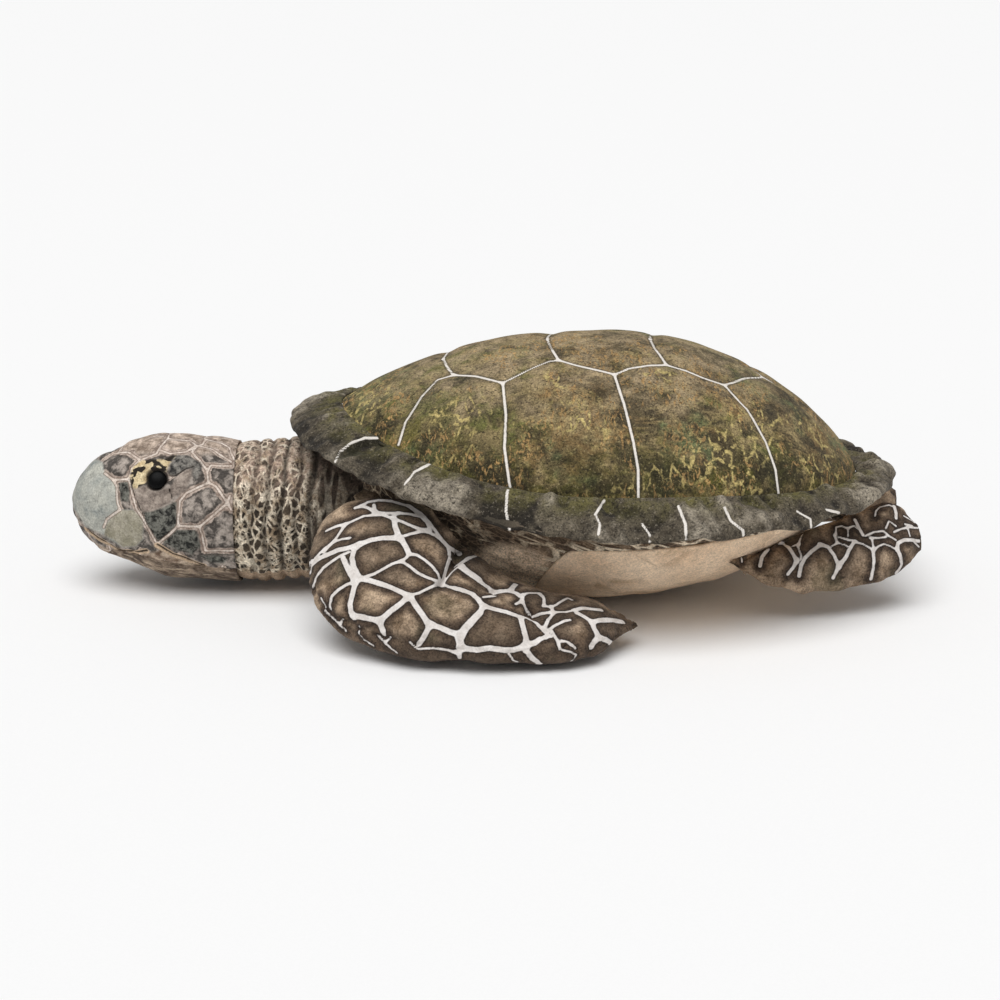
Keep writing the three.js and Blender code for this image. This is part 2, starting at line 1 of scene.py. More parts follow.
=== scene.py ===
"""Plush sea turtle: dresses the fixed frame of a stuffed turtle with sewn, padded and printed pieces.

The shell, the rim, the belly, the ringed neck, the scuted head, the four netted flippers and the
tail are each a piece of their own, in metres, with +Z up and the head towards -X.
"""

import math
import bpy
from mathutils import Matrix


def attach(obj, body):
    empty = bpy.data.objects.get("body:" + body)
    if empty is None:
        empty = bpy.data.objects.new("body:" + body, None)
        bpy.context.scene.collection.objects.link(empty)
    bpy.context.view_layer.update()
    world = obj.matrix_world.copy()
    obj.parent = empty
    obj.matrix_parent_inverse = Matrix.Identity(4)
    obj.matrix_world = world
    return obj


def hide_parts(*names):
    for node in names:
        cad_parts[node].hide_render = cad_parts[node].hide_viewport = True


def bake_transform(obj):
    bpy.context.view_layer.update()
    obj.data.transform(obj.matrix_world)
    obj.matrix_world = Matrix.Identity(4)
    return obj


bl_info = {
    "name": "Plush Sea Turtle",
    "version": (1, 0, 0),
    "blender": (4, 5, 0),
    "location": "View3D > Sidebar > Plush Turtle",
    "description": "Builds the padded cloth pieces of a plush sea turtle over its frame",
    "category": "Add Mesh",
}

import bmesh
import bpy
import numpy as np
from bpy.props import FloatProperty, IntProperty, PointerProperty
from mathutils import Matrix, Vector
from mathutils.bvhtree import BVHTree
from mathutils.kdtree import KDTree

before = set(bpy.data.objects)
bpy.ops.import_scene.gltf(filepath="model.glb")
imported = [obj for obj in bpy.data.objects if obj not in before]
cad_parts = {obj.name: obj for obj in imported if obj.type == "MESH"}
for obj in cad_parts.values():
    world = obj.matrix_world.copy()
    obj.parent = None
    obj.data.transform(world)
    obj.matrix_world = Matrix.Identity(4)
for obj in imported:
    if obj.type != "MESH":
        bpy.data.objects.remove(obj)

MM = 0.001

# The camera of the reference view, in millimetres and pixels of a 1000 by 1000 picture
CAMERA_PLACE = (-70.0, -1500.0, 490.0)
CAMERA_PITCH = math.radians(15.97)
CAMERA_REACH = 2200.0
PICTURE_MIDDLE = 500.0
PICTURE_WIDTH = 1000.0
SENSOR_WIDTH = 36.0
CAMERA_SIGHT_END = 200.0

# Cloth: its thickness, the gap at a seam, and how near points are joined, in millimetres
CLOTH = 2.0
SEAM_GAP = 0.3
WELD = 0.01
# The pile: how fine its fibres are, how deep its relief is, in metres and as a share, and its sheen
FIBRE_SCALE = 760.0
PILE_DEPTH = 0.0006
PILE_RELIEF = 0.5
PILE_SHEEN = 0.04
# The cloth that air swells: the width of its faces in millimetres, its frames and the air's pressure
CLOTH_FACE = 5.0
CLOTH_FRAMES = 20
CLOTH_PRESSURE = 4.0
# The room that it is given, the longest way that it goes in millimetres, and the points that pull one along
SWELL_ROOM = 1.0
SWELL_LIMIT = 2.5
SWELL_PULLERS = 5

# Faces of each sheet, across and along. The dome's are in its settings, and the pillows' are with them
RIM_GRID = (1000, 66)
LINING_GRID = (720, 36)
BELLY_GRID = (170, 170)
SIDE_GRID = (330, 70)
NECK_COLUMNS = 250
THROAT_COLUMNS = 90
NECK_ROWS = 150
HEAD_COLUMNS = 300
JAW_COLUMNS = 90
HEAD_ROWS = 160

# Stage: the floor's half width and drop in metres, its shade, and the light
FLOOR_REACH = 60.0
FLOOR_DROP = 0.0005
FLOOR_SHADE = 0.915
SKY_STRENGTH = 0.33
SUN_ENERGY = 2.36
SUN_SPREAD = math.radians(55.0)
SUN_TURN = (math.radians(19.0), math.radians(-7.0), 0.0)


# Small sums on arrays

def mix(a, b, share):
    return a + (b - a) * share


def smooth(start, end, value):
    share = np.clip((value - start) / (end - start), 0.0, 1.0)
    return share * share * (3.0 - 2.0 * share)


def bump(value, middle, width):
    return np.exp(-(((value - middle) / width) ** 2))


def stacked(*parts):
    return np.stack(np.broadcast_arrays(*parts), axis=-1).astype(float)


def unit(vectors):
    lengths = np.linalg.norm(vectors, axis=-1, keepdims=True)
    return vectors / np.maximum(lengths, 1e-9)


def curve_places(points, share):
    """Places on the smooth curve through the points, with the spacing that the frame's curves have."""
    points = np.asarray(points, float)
    share = np.asarray(share, float)
    last = len(points) - 1
    at = np.clip(share, 0.0, 1.0) * last
    low = np.clip(np.floor(at).astype(int), 0, last - 1)
    part = (at - low)[..., None]
    longer = np.concatenate([[2 * points[0] - points[1]], points, [2 * points[-1] - points[-2]]])
    p0, p1, p2, p3 = (longer[low + step] for step in range(4))
    step0, step1, step2 = (
        np.maximum(np.sum((b - a) ** 2, axis=-1, keepdims=True) ** 0.25, 1e-4)
        for a, b in ((p0, p1), (p1, p2), (p2, p3))
    )
    start = (p1 - p0) / step0 - (p2 - p0) / (step0 + step1) + (p2 - p1) / step1
    end = (p2 - p1) / step1 - (p3 - p1) / (step1 + step2) + (p3 - p2) / step2
    start, end = start * step1, end * step1
    return (
        p1 + start * part
        + (-3 * p1 + 3 * p2 - 2 * start - end) * part**2
        + (2 * p1 - 2 * p2 + start + end) * part**3
    )


def eased(values, share):
    values = np.asarray(values, float)
    at = np.clip(share, 0.0, 1.0) * (len(values) - 1)
    low = np.clip(np.floor(at).astype(int), 0, len(values) - 2)
    return mix(values[low], values[low + 1], smooth(0.0, 1.0, at - low))


# The reference picture: from a place to its pixel, and from a pixel along the ray of sight

def picture_places(points):
    across, into, up = (points - np.array(CAMERA_PLACE)).T
    depth = into * math.cos(CAMERA_PITCH) - up * math.sin(CAMERA_PITCH)
    height = into * math.sin(CAMERA_PITCH) + up * math.cos(CAMERA_PITCH)
    return np.stack(
        [
            PICTURE_MIDDLE + CAMERA_REACH * across / depth,
            PICTURE_MIDDLE - CAMERA_REACH * height / depth,
        ],
        axis=-1,
    )


def sight_line(pixel_x, pixel_y):
    right = (pixel_x - PICTURE_MIDDLE) / CAMERA_REACH
    up = (PICTURE_MIDDLE - pixel_y) / CAMERA_REACH
    return Vector(
        (
            right,
            math.cos(CAMERA_PITCH) + up * math.sin(CAMERA_PITCH),
            -math.sin(CAMERA_PITCH) + up * math.cos(CAMERA_PITCH),
        )
    ).normalized()


# Meshes: every sheet starts as a grid, whose points are then moved to their places

def grid_mesh(name, columns, rows, place):
    """A sheet of columns by rows faces. place turns shares across and along into millimetres."""
    bm = bmesh.new()
    bmesh.ops.create_grid(bm, x_segments=columns, y_segments=rows, size=0.5)
    mesh = bpy.data.meshes.new(name)
    bm.to_mesh(mesh)
    bm.free()
    flat = places_of(mesh)
    across = np.round((flat[:, 0] + 0.5) * columns) / columns
    along = np.round((flat[:, 1] + 0.5) * rows) / rows
    set_places(mesh, place(across, along))
    return mesh


def places_of(mesh):
    places = np.empty(len(mesh.vertices) * 3)
    mesh.vertices.foreach_get("co", places)
    return places.reshape(-1, 3)


def set_places(mesh, millimetres):
    mesh.vertices.foreach_set("co", (np.asarray(millimetres, float) * MM).ravel())
    mesh.update()


def places_mm(mesh):
    return places_of(mesh) / MM


def normals_of(mesh):
    normals = np.empty(len(mesh.vertices) * 3)
    mesh.vertices.foreach_get("normal", normals)
    return normals.reshape(-1, 3)


def tidy_mesh(mesh, fill=False, drop=None):
    """Joins points that meet, leaves out those that drop picks, closes holes and turns faces outwards."""
    bm = bmesh.new()
    bm.from_mesh(mesh)
    bmesh.ops.remove_doubles(bm, verts=bm.verts, dist=WELD * MM)
    if drop is not None:
        gone = [v for v in bm.verts if drop(v.co / MM)]
        bmesh.ops.delete(bm, geom=gone, context="VERTS")
    if fill:
        open_edges = [e for e in bm.edges if e.is_boundary]
        bmesh.ops.holes_fill(bm, edges=open_edges, sides=0)
    bmesh.ops.recalc_face_normals(bm, faces=bm.faces)
    bm.to_mesh(mesh)
    bm.free()
    mesh.update()
    return mesh


def turned_outwards(mesh, middle):
    """Turns an open sheet's faces away from a middle place, in millimetres."""
    places = places_mm(mesh)
    outwards = np.sum((places - np.asarray(middle, float)) * normals_of(mesh), axis=1)
    if np.mean(outwards) < 0:
        mesh.flip_normals()
        mesh.update()
    return mesh


def add_values(mesh, name, values):
    attribute = mesh.attributes.get(name) or mesh.attributes.new(name, "FLOAT", "POINT")
    attribute.data.foreach_set("value", np.asarray(values, np.float32))


def add_vectors(mesh, name, vectors):
    attribute = mesh.attributes.get(name) or mesh.attributes.new(name, "FLOAT_VECTOR", "POINT")
    attribute.data.foreach_set("vector", np.asarray(vectors, np.float32).ravel())


def add_piece(name, mesh, material, body, nodes):
    for polygon in mesh.polygons:
        polygon.use_smooth = True
    piece = bpy.data.objects.new(name, mesh)
    bpy.context.scene.collection.objects.link(piece)
    mesh.materials.append(material)
    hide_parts(*nodes)
    if body is not None:
        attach(piece, body)
    return piece


def add_wall(piece, thickness):
    wall = piece.modifiers.new("Cloth thickness", "SOLIDIFY")
    wall.thickness = thickness * MM
    wall.offset = -1.0
    wall.use_even_offset = False
    return wall


def mirrored_mesh(mesh, name):
    other = mesh.copy()
    other.name = name
    places = places_mm(mesh)
    places[:, 1] *= -1.0
    set_places(other, places)
    other.flip_normals()
    other.update()
    return other


# The sizes that a user would change

def size_of(label, description, default):
    return FloatProperty(name=label, description=description, default=default, unit="LENGTH")


class ShellSettings(bpy.types.PropertyGroup):
    """Sizes of the shell, its rim and the body under it."""

    length: size_of("Shell length", "Length of the domed shell along the back", 0.360)
    width: size_of("Shell width", "Width of the domed shell", 0.260)
    top: size_of("Shell top", "Height of the highest point", 0.179)
    rim_length: size_of("Rim length", "Length over the rim", 0.422)
    rim_width: size_of("Rim width", "Width over the rim", 0.310)
    rim_edge: size_of("Rim edge", "Height of the rim's side edge", 0.077)
    rim_padding: size_of("Rim padding", "Half of the rim's thickness at its edge", 0.0048)
    scute_puff: FloatProperty(
        name="Scute puff", description="How far each scute swells between the sunk lines", default=0.0018,
        unit="LENGTH",
    )
    steps: IntProperty(
        name="Fineness", description="Faces across the domed shell", default=300, min=40, max=310
    )


class HeadSettings(bpy.types.PropertyGroup):
    """Sizes of the head, the neck and the eyes."""

    height: size_of("Head height", "Height of the head", 0.102)
    width: size_of("Head width", "Width of the head", 0.092)
    snout: size_of("Snout", "Place of the tip of the snout", -0.373)
    eye: size_of("Eye diameter", "Width of the plastic eye", 0.013)
    fold: size_of("Neck fold", "Depth of the neck's folds", 0.0022)


class FlipperSettings(bpy.types.PropertyGroup):
    """Sizes of the four flippers and the tail."""

    front_reach: size_of("Front reach", "Length of a front flipper's box", 0.2226)
    front_span: size_of("Front span", "Width of a front flipper's box", 0.134)
    rear_reach: size_of("Rear reach", "Length of a rear flipper's box", 0.144)
    rear_span: size_of("Rear span", "Width of a rear flipper's box", 0.063)
    pucker: size_of("Seam pucker", "Depth of the puckers along the edge seams", 0.0009)


# Shell and body: the dome and the hull are caps over one oval, whose turn starts at the front. All sizes
# here are in millimetres

# The height of the oval's seam at the sides, its rise at the front and its drop at the rear
WAIST = 98.0
FRONT_RISE = 35.0
REAR_DROP = 14.0
# How round and how full each cap is at its sides, front and rear
DOME_SIDE_CROWN = (2.2, 0.8)
DOME_FRONT_CROWN = (2.3, 1.05)
HULL_SIDE_CROWN = (2.0, 0.41)
HULL_FRONT_CROWN = (4.0, 0.35)
HULL_REAR_CROWN = (2.0, 0.7)
# How much of the hull's lowest part the floor flattens
REST_CUT = 0.5
# The rim's outer edge: its shift towards the head, and its rise at the front and the rear
RIM_FORWARD = 5.0
RIM_FRONT_RISE = 42.5
RIM_REAR_RISE = 4.5
# The rim's forms: the wave and the roll of its edge, its ruffles, the fold with a white edge and the
# pocket behind it, then the lining's top and the room between it and the rim's padding
RIM_WAVE = 2.1
RIM_ROLL = 3.4
RIM_RUFFLE = 3.3
RIM_FOLD = 1.5
RIM_POCKET_DEPTH = 3.6
LINING_TOP = 1.2
LINING_ROOM = 1.6
# How far out on the hull the belly's seam runs, as a share, and how the side skin's wrinkles lean
BELLY_SEAM_SIDE = 0.955
BELLY_SEAM_FRONT = 0.5
WRINKLE_LEAN = math.radians(18.0)
# The neck's line and radii from the body to the head, and the room for it in the body's skin
NECK_ROOT = (-150.0, 0.0, 58.0)
NECK_MIDDLE = (-205.0, 0.0, 55.975)
HEAD_PIVOT = (-236.0, 0.0, 53.5)
NECK_RADII = (52.0, 51.0, 50.6)
NECK_ROOM = 52.9
NECK_ROOM_OPENING = math.radians(13.0)
# The height up to which the throat's cloth reaches, the head's seam, and the height of the head's middle
THROAT_TOP = 21.0
HEAD_SEAM = -254.0
HEAD_MIDDLE = 57.5


def frontness(turn):
    return np.maximum(0.0, np.cos(turn)) ** 2


def rearness(turn):
    return np.maximum(0.0, -np.cos(turn)) ** 2


def waist(turn):
    return WAIST + FRONT_RISE * frontness(turn) - REAR_DROP * rearness(turn)


def crown(reach, turn, side, front, rear):
    front_share, rear_share = frontness(turn), rearness(turn)
    roundness, fullness = (
        side[i] + (front[i] - side[i]) * front_share + (rear[i] - side[i]) * rear_share for i in (0, 1)
    )
    return (1.0 - np.clip(reach, 0.0, 1.0) ** roundness) ** fullness


def shell_settings():
    return bpy.context.scene.plush_shell


def dome_place(turn, reach):
    shell = shell_settings()
    height = mix(
        waist(turn) + SEAM_GAP / 2, shell.top / MM,
        crown(reach, turn, DOME_SIDE_CROWN, DOME_FRONT_CROWN, DOME_SIDE_CROWN),
    )
    return stacked(
        -shell.length / MM / 2 * reach * np.cos(turn), shell.width / MM / 2 * reach * np.sin(turn), height
    )


def hull_place(turn, reach):
    shell = shell_settings()
    height = mix(
        waist(turn) - SEAM_GAP / 2, -REST_CUT,
        crown(reach, turn, HULL_SIDE_CROWN, HULL_FRONT_CROWN, HULL_REAR_CROWN),
    )
    return stacked(
        -shell.length / MM / 2 * reach * np.cos(turn), shell.width / MM / 2 * reach * np.sin(turn),
        np.maximum(0.0, height),
    )


def disc_shares(across, along):
    """Turns a square grid into a disc: the turn round it and the reach from its middle."""
    x, y = 2.0 * across - 1.0, 2.0 * along - 1.0
    wide = np.abs(x) > np.abs(y)
    lower = np.where(wide, y, x)
    upper = np.where(wide, x, y)
    bend = math.pi / 4 * lower / np.where(upper == 0.0, 1.0, upper)
    turn = np.where(
        wide,
        np.where(x > 0, bend, math.pi + bend),
        np.where(y > 0, math.pi / 2 - bend, -math.pi / 2 - bend),
    )
    return turn, np.maximum(np.abs(x), np.abs(y))


def belly_seam(turn):
    swing = smooth(0.12, 0.6, np.cos(turn))
    return mix(BELLY_SEAM_SIDE, BELLY_SEAM_FRONT, swing)


def shell_turn(places):
    """The turn round the shell's oval at each place."""
    shell = shell_settings()
    return np.arctan2(places[:, 1] / shell.width, -places[:, 0] / shell.length)


def rim_place(turn, share):
    shell = shell_settings()
    inner = stacked(
        -(shell.length / MM / 2 + SEAM_GAP) * np.cos(turn),
        (shell.width / MM / 2 + SEAM_GAP) * np.sin(turn),
        waist(turn),
    )
    edge = shell.rim_edge / MM + RIM_FRONT_RISE * np.maximum(0.0, np.cos(turn)) ** 1.2
    edge = edge + RIM_REAR_RISE * smooth(0.5, 1.0, -np.cos(turn))
    outer = stacked(
        -shell.rim_length / MM / 2 * np.cos(turn) - RIM_FORWARD,
        shell.rim_width / MM / 2 * np.sin(turn),
        edge,
    )
    return mix(inner, outer, np.asarray(share)[..., None])


def rim_share(places, turn):
    """How far each place lies from the rim's inner edge, where it is 0, to its outer edge, where it is 1."""
    inner, outer = rim_place(turn, np.zeros(len(turn))), rim_place(turn, np.ones(len(turn)))
    way = outer[:, :2] - inner[:, :2]
    share = np.sum((places[:, :2] - inner[:, :2]) * way, axis=1) / np.maximum(np.sum(way**2, axis=1), 1.0)
    return np.clip(share, 0.0, 1.0)


def rim_section(around, along, top):
    """A place on the rim's pillow or, without top, on the thin one that lines it from below."""
    padding = shell_settings().rim_padding / MM
    turn = around * 2.0 * math.pi
    angle = along * 2.0 * math.pi
    share = (1.0 - np.cos(angle)) / 2.0
    full = np.abs(np.sin(angle)) ** 0.7
    over = np.sin(angle) > 0
    place = rim_place(turn, share if top else share * 0.94 + 0.01)
    edge = rim_place(turn, np.ones_like(share))
    wave = ripple(edge, 17, 8) + 0.5 * ripple(edge, 8, 9)
    place[..., 2] += RIM_WAVE * wave * share**2
    if top:
        rolled = 1.0 + RIM_ROLL * smooth(0.72, 0.97, share)
        place[..., 2] += np.where(over, padding * full, -rolled * full)
    else:
        place[..., 2] -= np.where(over, LINING_TOP * full, (padding - LINING_ROOM) * full)
    return place


# Neck and head

# The lip that follows the head's ball: its reach in millimetres, its angle, and the share where it starts
LIP_REACH = 20.0
LIP_ANGLE = math.asin(LIP_REACH / NECK_RADII[2])
NECK_LIP_START = 0.82
# Each fold round the neck: its place and its share of the full depth
NECK_FOLDS = ((-241.0, 0.7), (-231.0, 0.85), (-220.5, 1.0), (-210.0, 0.8), (-200.5, 1.0), (-189.0, 0.7))


def neck_radius(along):
    half = np.clip(along * 2.0, 0.0, 1.0)
    return np.where(
        along < 0.5, mix(NECK_RADII[0], NECK_RADII[1], half),
        mix(NECK_RADII[1], NECK_RADII[2], np.clip(along * 2.0 - 1.0, 0.0, 1.0)),
    )


def neck_folds(x, angle):
    """How deep each place lies in the folds that run round the neck."""
    sway = 2.0 * np.cos(angle) + 1.1 * np.sin(3.0 * angle) + 0.8 * np.sin(7.0 * angle + x / 9.0)
    return sum(depth * bump(x + sway, place, 1.9) for place, depth in NECK_FOLDS)


def neck_place(angle, along):
    """The skin of the neck: a tube from the body to the head's pivot, then the lip that follows the ball."""
    tube = np.clip(along / NECK_LIP_START, 0.0, 1.0)
    lip = np.clip((along - NECK_LIP_START) / (1.0 - NECK_LIP_START), 0.0, 1.0) * LIP_ANGLE
    middle = curve_places([NECK_ROOT, NECK_MIDDLE, HEAD_PIVOT], tube)
    radius = neck_radius(tube) * np.cos(lip)
    x = middle[..., 0] - NECK_RADII[2] * np.sin(lip)
    radius = radius - bpy.context.scene.plush_head.fold / MM * neck_folds(x, angle)
    return stacked(x, radius * np.sin(angle), middle[..., 2] - radius * np.cos(angle))


# Along the skull: share of the way to the snout, middle, height and width, each as a share of the head's size
SKULL = (
    (0.0, -0.04, 0.99, 1.09),
    (0.2, -0.02, 1.0, 1.05),
    (0.43, 0.0, 1.0, 1.0),
    (0.62, 0.022, 0.865, 0.84),
    (0.74, 0.014, 0.745, 0.71),
    (0.83, 0.010, 0.66, 0.61),
    (0.93, 0.016, 0.43, 0.42),
    (0.98, 0.018, 0.215, 0.22),
    (1.0, 0.01, 0.0, 0.0),
)
# The ends of the seam between the head's cloth and the jaw: place along and height
JAW_FRONT = (-356.3, 33.0)
JAW_REAR = (-234.0, 19.0)


def skull_sizes(along):
    head = bpy.context.scene.plush_head
    sizes = curve_places(np.array(SKULL), along)
    x = mix(HEAD_SEAM, head.snout / MM, np.minimum(sizes[..., 0], 1.0))
    height = np.maximum(0.0, sizes[..., 2]) * head.height / MM / 2
    width = np.maximum(0.0, sizes[..., 3]) * head.width / MM / 2
    return x, HEAD_MIDDLE + sizes[..., 1] * head.height / MM, height, width


def jaw_line(x):
    share = (x - JAW_REAR[0]) / (JAW_FRONT[0] - JAW_REAR[0])
    return mix(JAW_REAR[1], JAW_FRONT[1], share)


def jaw_angle(along):
    """Half of the turn round the head, from its lowest line, that the jaw panel covers."""
    x, middle, height, _width = skull_sizes(along)
    rise = np.clip((middle - jaw_line(x)) / np.maximum(height, 1e-6), -1.0, 1.0)
    closing = smooth(JAW_FRONT[0] + 1.0, JAW_FRONT[0] + 16.0, x)
    return np.arccos(rise) * closing


def head_place(angle, along):
    x, middle, height, width = skull_sizes(along)
    return stacked(x, width * np.sin(angle), middle - height * np.cos(angle))


# The eyes: how far each looks up, its place along the head and its height off the cloth, the height of its
# dome with the share of it that is upright wall, and its post's radius and depth
EYE_RISE = math.radians(31.0)
EYE_PLACE = -306.0
EYE_SEAT_HEIGHT = 0.5
EYE_DOME = 3.6
EYE_WALL_SHARE = 0.25
EYE_POST = (1.5, 9.0)
# The cloth round an eye: how far it reaches, the socket's depth and how far each lid stands out
EYE_AREA = 30.0
SOCKET_DEPTH = 0.8
UPPER_LID = 4.6
LOWER_LID = 2.6


def eye_seat(side):
    head = bpy.context.scene.plush_head
    along = (EYE_PLACE - HEAD_SEAM) / (head.snout / MM - HEAD_SEAM)
    half_height, half_width = head.height / MM / 2, head.width / MM / 2
    slant = math.atan2(math.sin(EYE_RISE) * half_height, math.cos(EYE_RISE) * half_width)
    narrowing = 1.0 - abs(along - SKULL[2][0])
    return Vector(
        (
            EYE_PLACE, side * narrowing * half_width * math.cos(slant),
            HEAD_MIDDLE + narrowing * half_height * math.sin(slant),
        )
    )


# Flippers and tail: pillows between an outer and an inner edge, both written from the root to the tip.
# Places are shares of the pillow's size. Its grid is its faces, its cell the width of a printed cell
# in millimetres, and its blend two places in metres

FRONT_FLIPPER = {
    "outer": (
        (0.174, -0.031, 1), (0.02, 0.274, 0.7), (0.06, 0.655, 0.318), (0.29, 0.925, 0.18), (0.5, 1, 0.169),
        (0.71, 1, 0.159), (0.864, 0.9, 0.152), (0.977, 0.667, 0.157),
    ),
    "inner": (
        (0.394, 0.314, 0.94), (0.411, 0.369, 0.88), (0.465, 0.395, 0.75), (0.533, 0.4, 0.6),
        (0.622, 0.395, 0.45), (0.73, 0.4, 0.33), (0.864, 0.46, 0.24), (0.99, 0.58, 0.15),
    ),
    "swell": (0, 0.9, 1, 0.96, 0.84, 0.78, 0.6, 0.12),
    "top_swell": (0, 0.9, 1, 0.88, 0.57, 0.48, 0.46, 0.12),
    "origin": (-201.0, 58.0, 0.0),
    "height": 84.0,
    "top": 27.0,
    "under": 23.6,
    "grid": (260, 300),
    "cell": 23.0,
    "blend": ((-0.138, -0.070, 0.084), (-0.138, -0.105, 0.075)),
}

REAR_FLIPPER = {
    "outer": (
        (0.025, 0.96, 0.68), (0.1, 1, 0.57), (0.24, 1, 0.47), (0.43, 0.92, 0.42), (0.64, 0.778, 0.42),
        (0.85, 0.54, 0.48), (0.985, 0.254, 0.62),
    ),
    "inner": (
        (0.478, 0.328, 0.85), (0.565, 0.25, 0.8), (0.65, 0.14, 0.83), (0.72, 0.055, 0.89),
        (0.79, 0.016, 0.94), (0.89, 0.032, 0.92), (0.963, 0.143, 0.78),
    ),
    "swell": (0, 0.55, 0.85, 1, 0.95, 0.75, 0.35),
    "origin": (80.0, 34.0, 0.0),
    "height": 66.0,
    "top": 20.0,
    "under": 17.0,
    "grid": (200, 220),
    "cell": 15.0,
    "blend": ((0.105, -0.070, 0.055), (0.118, -0.092, 0.045)),
}

TAIL = {
    "outer": ((0, 0.5, 0), (0.2, 0.5, -0.15), (0.55, 0.4, -0.5), (0.85, 0.24, -0.85), (1, 0.1, -1)),
    "inner": ((0, -0.5, 0), (0.2, -0.5, -0.15), (0.55, -0.4, -0.5), (0.85, -0.24, -0.85), (1, -0.1, -1)),
    "swell": (0, 0.8, 1, 0.7, 0.1),
    "origin": (158.0, 0.0, 55.0),
    "size": (36.0, 28.0, 14.0),
    "top": 6.0,
    "under": 6.0,
    "grid": (70, 70),
    "cell": 9.0,
}


def pillow_place(shape, size, around, along):
    """A place on the left pillow. around goes round its section from the outer edge, over the top first."""
    origin = np.array(shape["origin"])
    outer = curve_places(origin + np.array(shape["outer"]) * size, along)
    inner = curve_places(origin + np.array(shape["inner"]) * size, along)
    angle = around * 2.0 * math.pi
    across = (1.0 - np.cos(angle)) / 2.0
    place = mix(outer, inner, across[..., None])
    over = shape["top"] * eased(shape.get("top_swell", shape["swell"]), along)
    under = shape["under"] * eased(shape["swell"], along)
    place[..., 2] += np.where(np.sin(angle) > 0, over, -under) * np.abs(np.sin(angle)) ** 0.8
    place[..., 2] = np.maximum(0.0, place[..., 2])
    place[..., 1] *= -1.0
    return place


def pillow_mesh(name, shape, size):
    mesh = grid_mesh(name, *shape["grid"], lambda around, along: pillow_place(shape, size, around, along))
    return tidy_mesh(mesh, fill=True)


# Printed lines: each is drawn on the reference picture, and laid on the cloth along the rays of sight

SHELL_LINES = {
    "back plates": ((453.3, 374.2), (475.7, 376.8), (502.8, 383.1), (517.1, 375.8), (533.1, 367.8),
        (549, 360.8), (558.6, 359.5), (584.1, 366.2), (614.4, 374.2), (628.7, 368.5), (651, 365.3),
        (667, 364.6), (686.1, 370.4), (702.1, 377.4), (724.4, 385.4), (746.7, 377.4), (762.7, 376.8)),
    "first across": ((453.3, 374.2), (447, 366.2), (442.2, 356.7)),
    "second across": ((558.6, 359.5), (553.8, 351.9), (547.4, 339.1), (549, 332.1)),
    "third across": ((666, 363.7), (654.2, 348.7), (647.9, 333.4)),
    "first side": ((453.3, 374.2), (437.4, 379), (421.5, 396.5), (405.5, 422), (398.5, 445)),
    "second side": ((502.8, 383.1), (506, 415.7), (504.4, 447.6), (509.1, 482), (510.1, 487)),
    "third side": ((614.4, 374.2), (623.9, 402.9), (633.5, 441.2), (638.3, 469.9), (638.3, 501.1)),
    "fourth side": ((724.4, 385.4), (746.7, 409.3), (765.8, 441.2), (775.4, 469.9), (779.6, 501.1)),
    "rear side": ((762.7, 376.8), (795, 396), (821.6, 428.4), (836, 447.6), (847.2, 468.3)),
}

RIM_LINES = {
    "front tick": ((433.6, 462.2), (415.1, 471.5), (404.9, 484.2)),
    "second tick": ((510.1, 482), (506.9, 493.8), (506, 511.3), (509.5, 529.8)),
    "third tick": ((606.4, 497.3), (595.2, 514.5), (600, 524.1), (598.4, 534.3)),
    "short tick": ((642.1, 524.1), (649.5, 534.3), (649.8, 541.9)),
    "fourth tick": ((678.2, 505.9), (685.5, 524.1), (686.1, 539.4)),
    "fifth tick": ((724.4, 507.5), (730.8, 520.9), (742.9, 530.5), (743.5, 535.6)),
    "sixth tick": ((797.1, 511.3), (810.5, 519.3), (811.1, 527.3)),
    "seventh tick": ((826.4, 509.7), (839.2, 512.9), (835.4, 518.3)),
    "crease mark": ((832.2, 479.1), (839.8, 482.9)),
    "fold edge": ((335, 462), (340, 452), (351, 443), (364, 438), (382, 438)),
}

RIM_POCKET = ((337, 461), (341, 453), (352, 444), (364, 439), (383, 439), (388, 443), (374, 447), (352, 455))

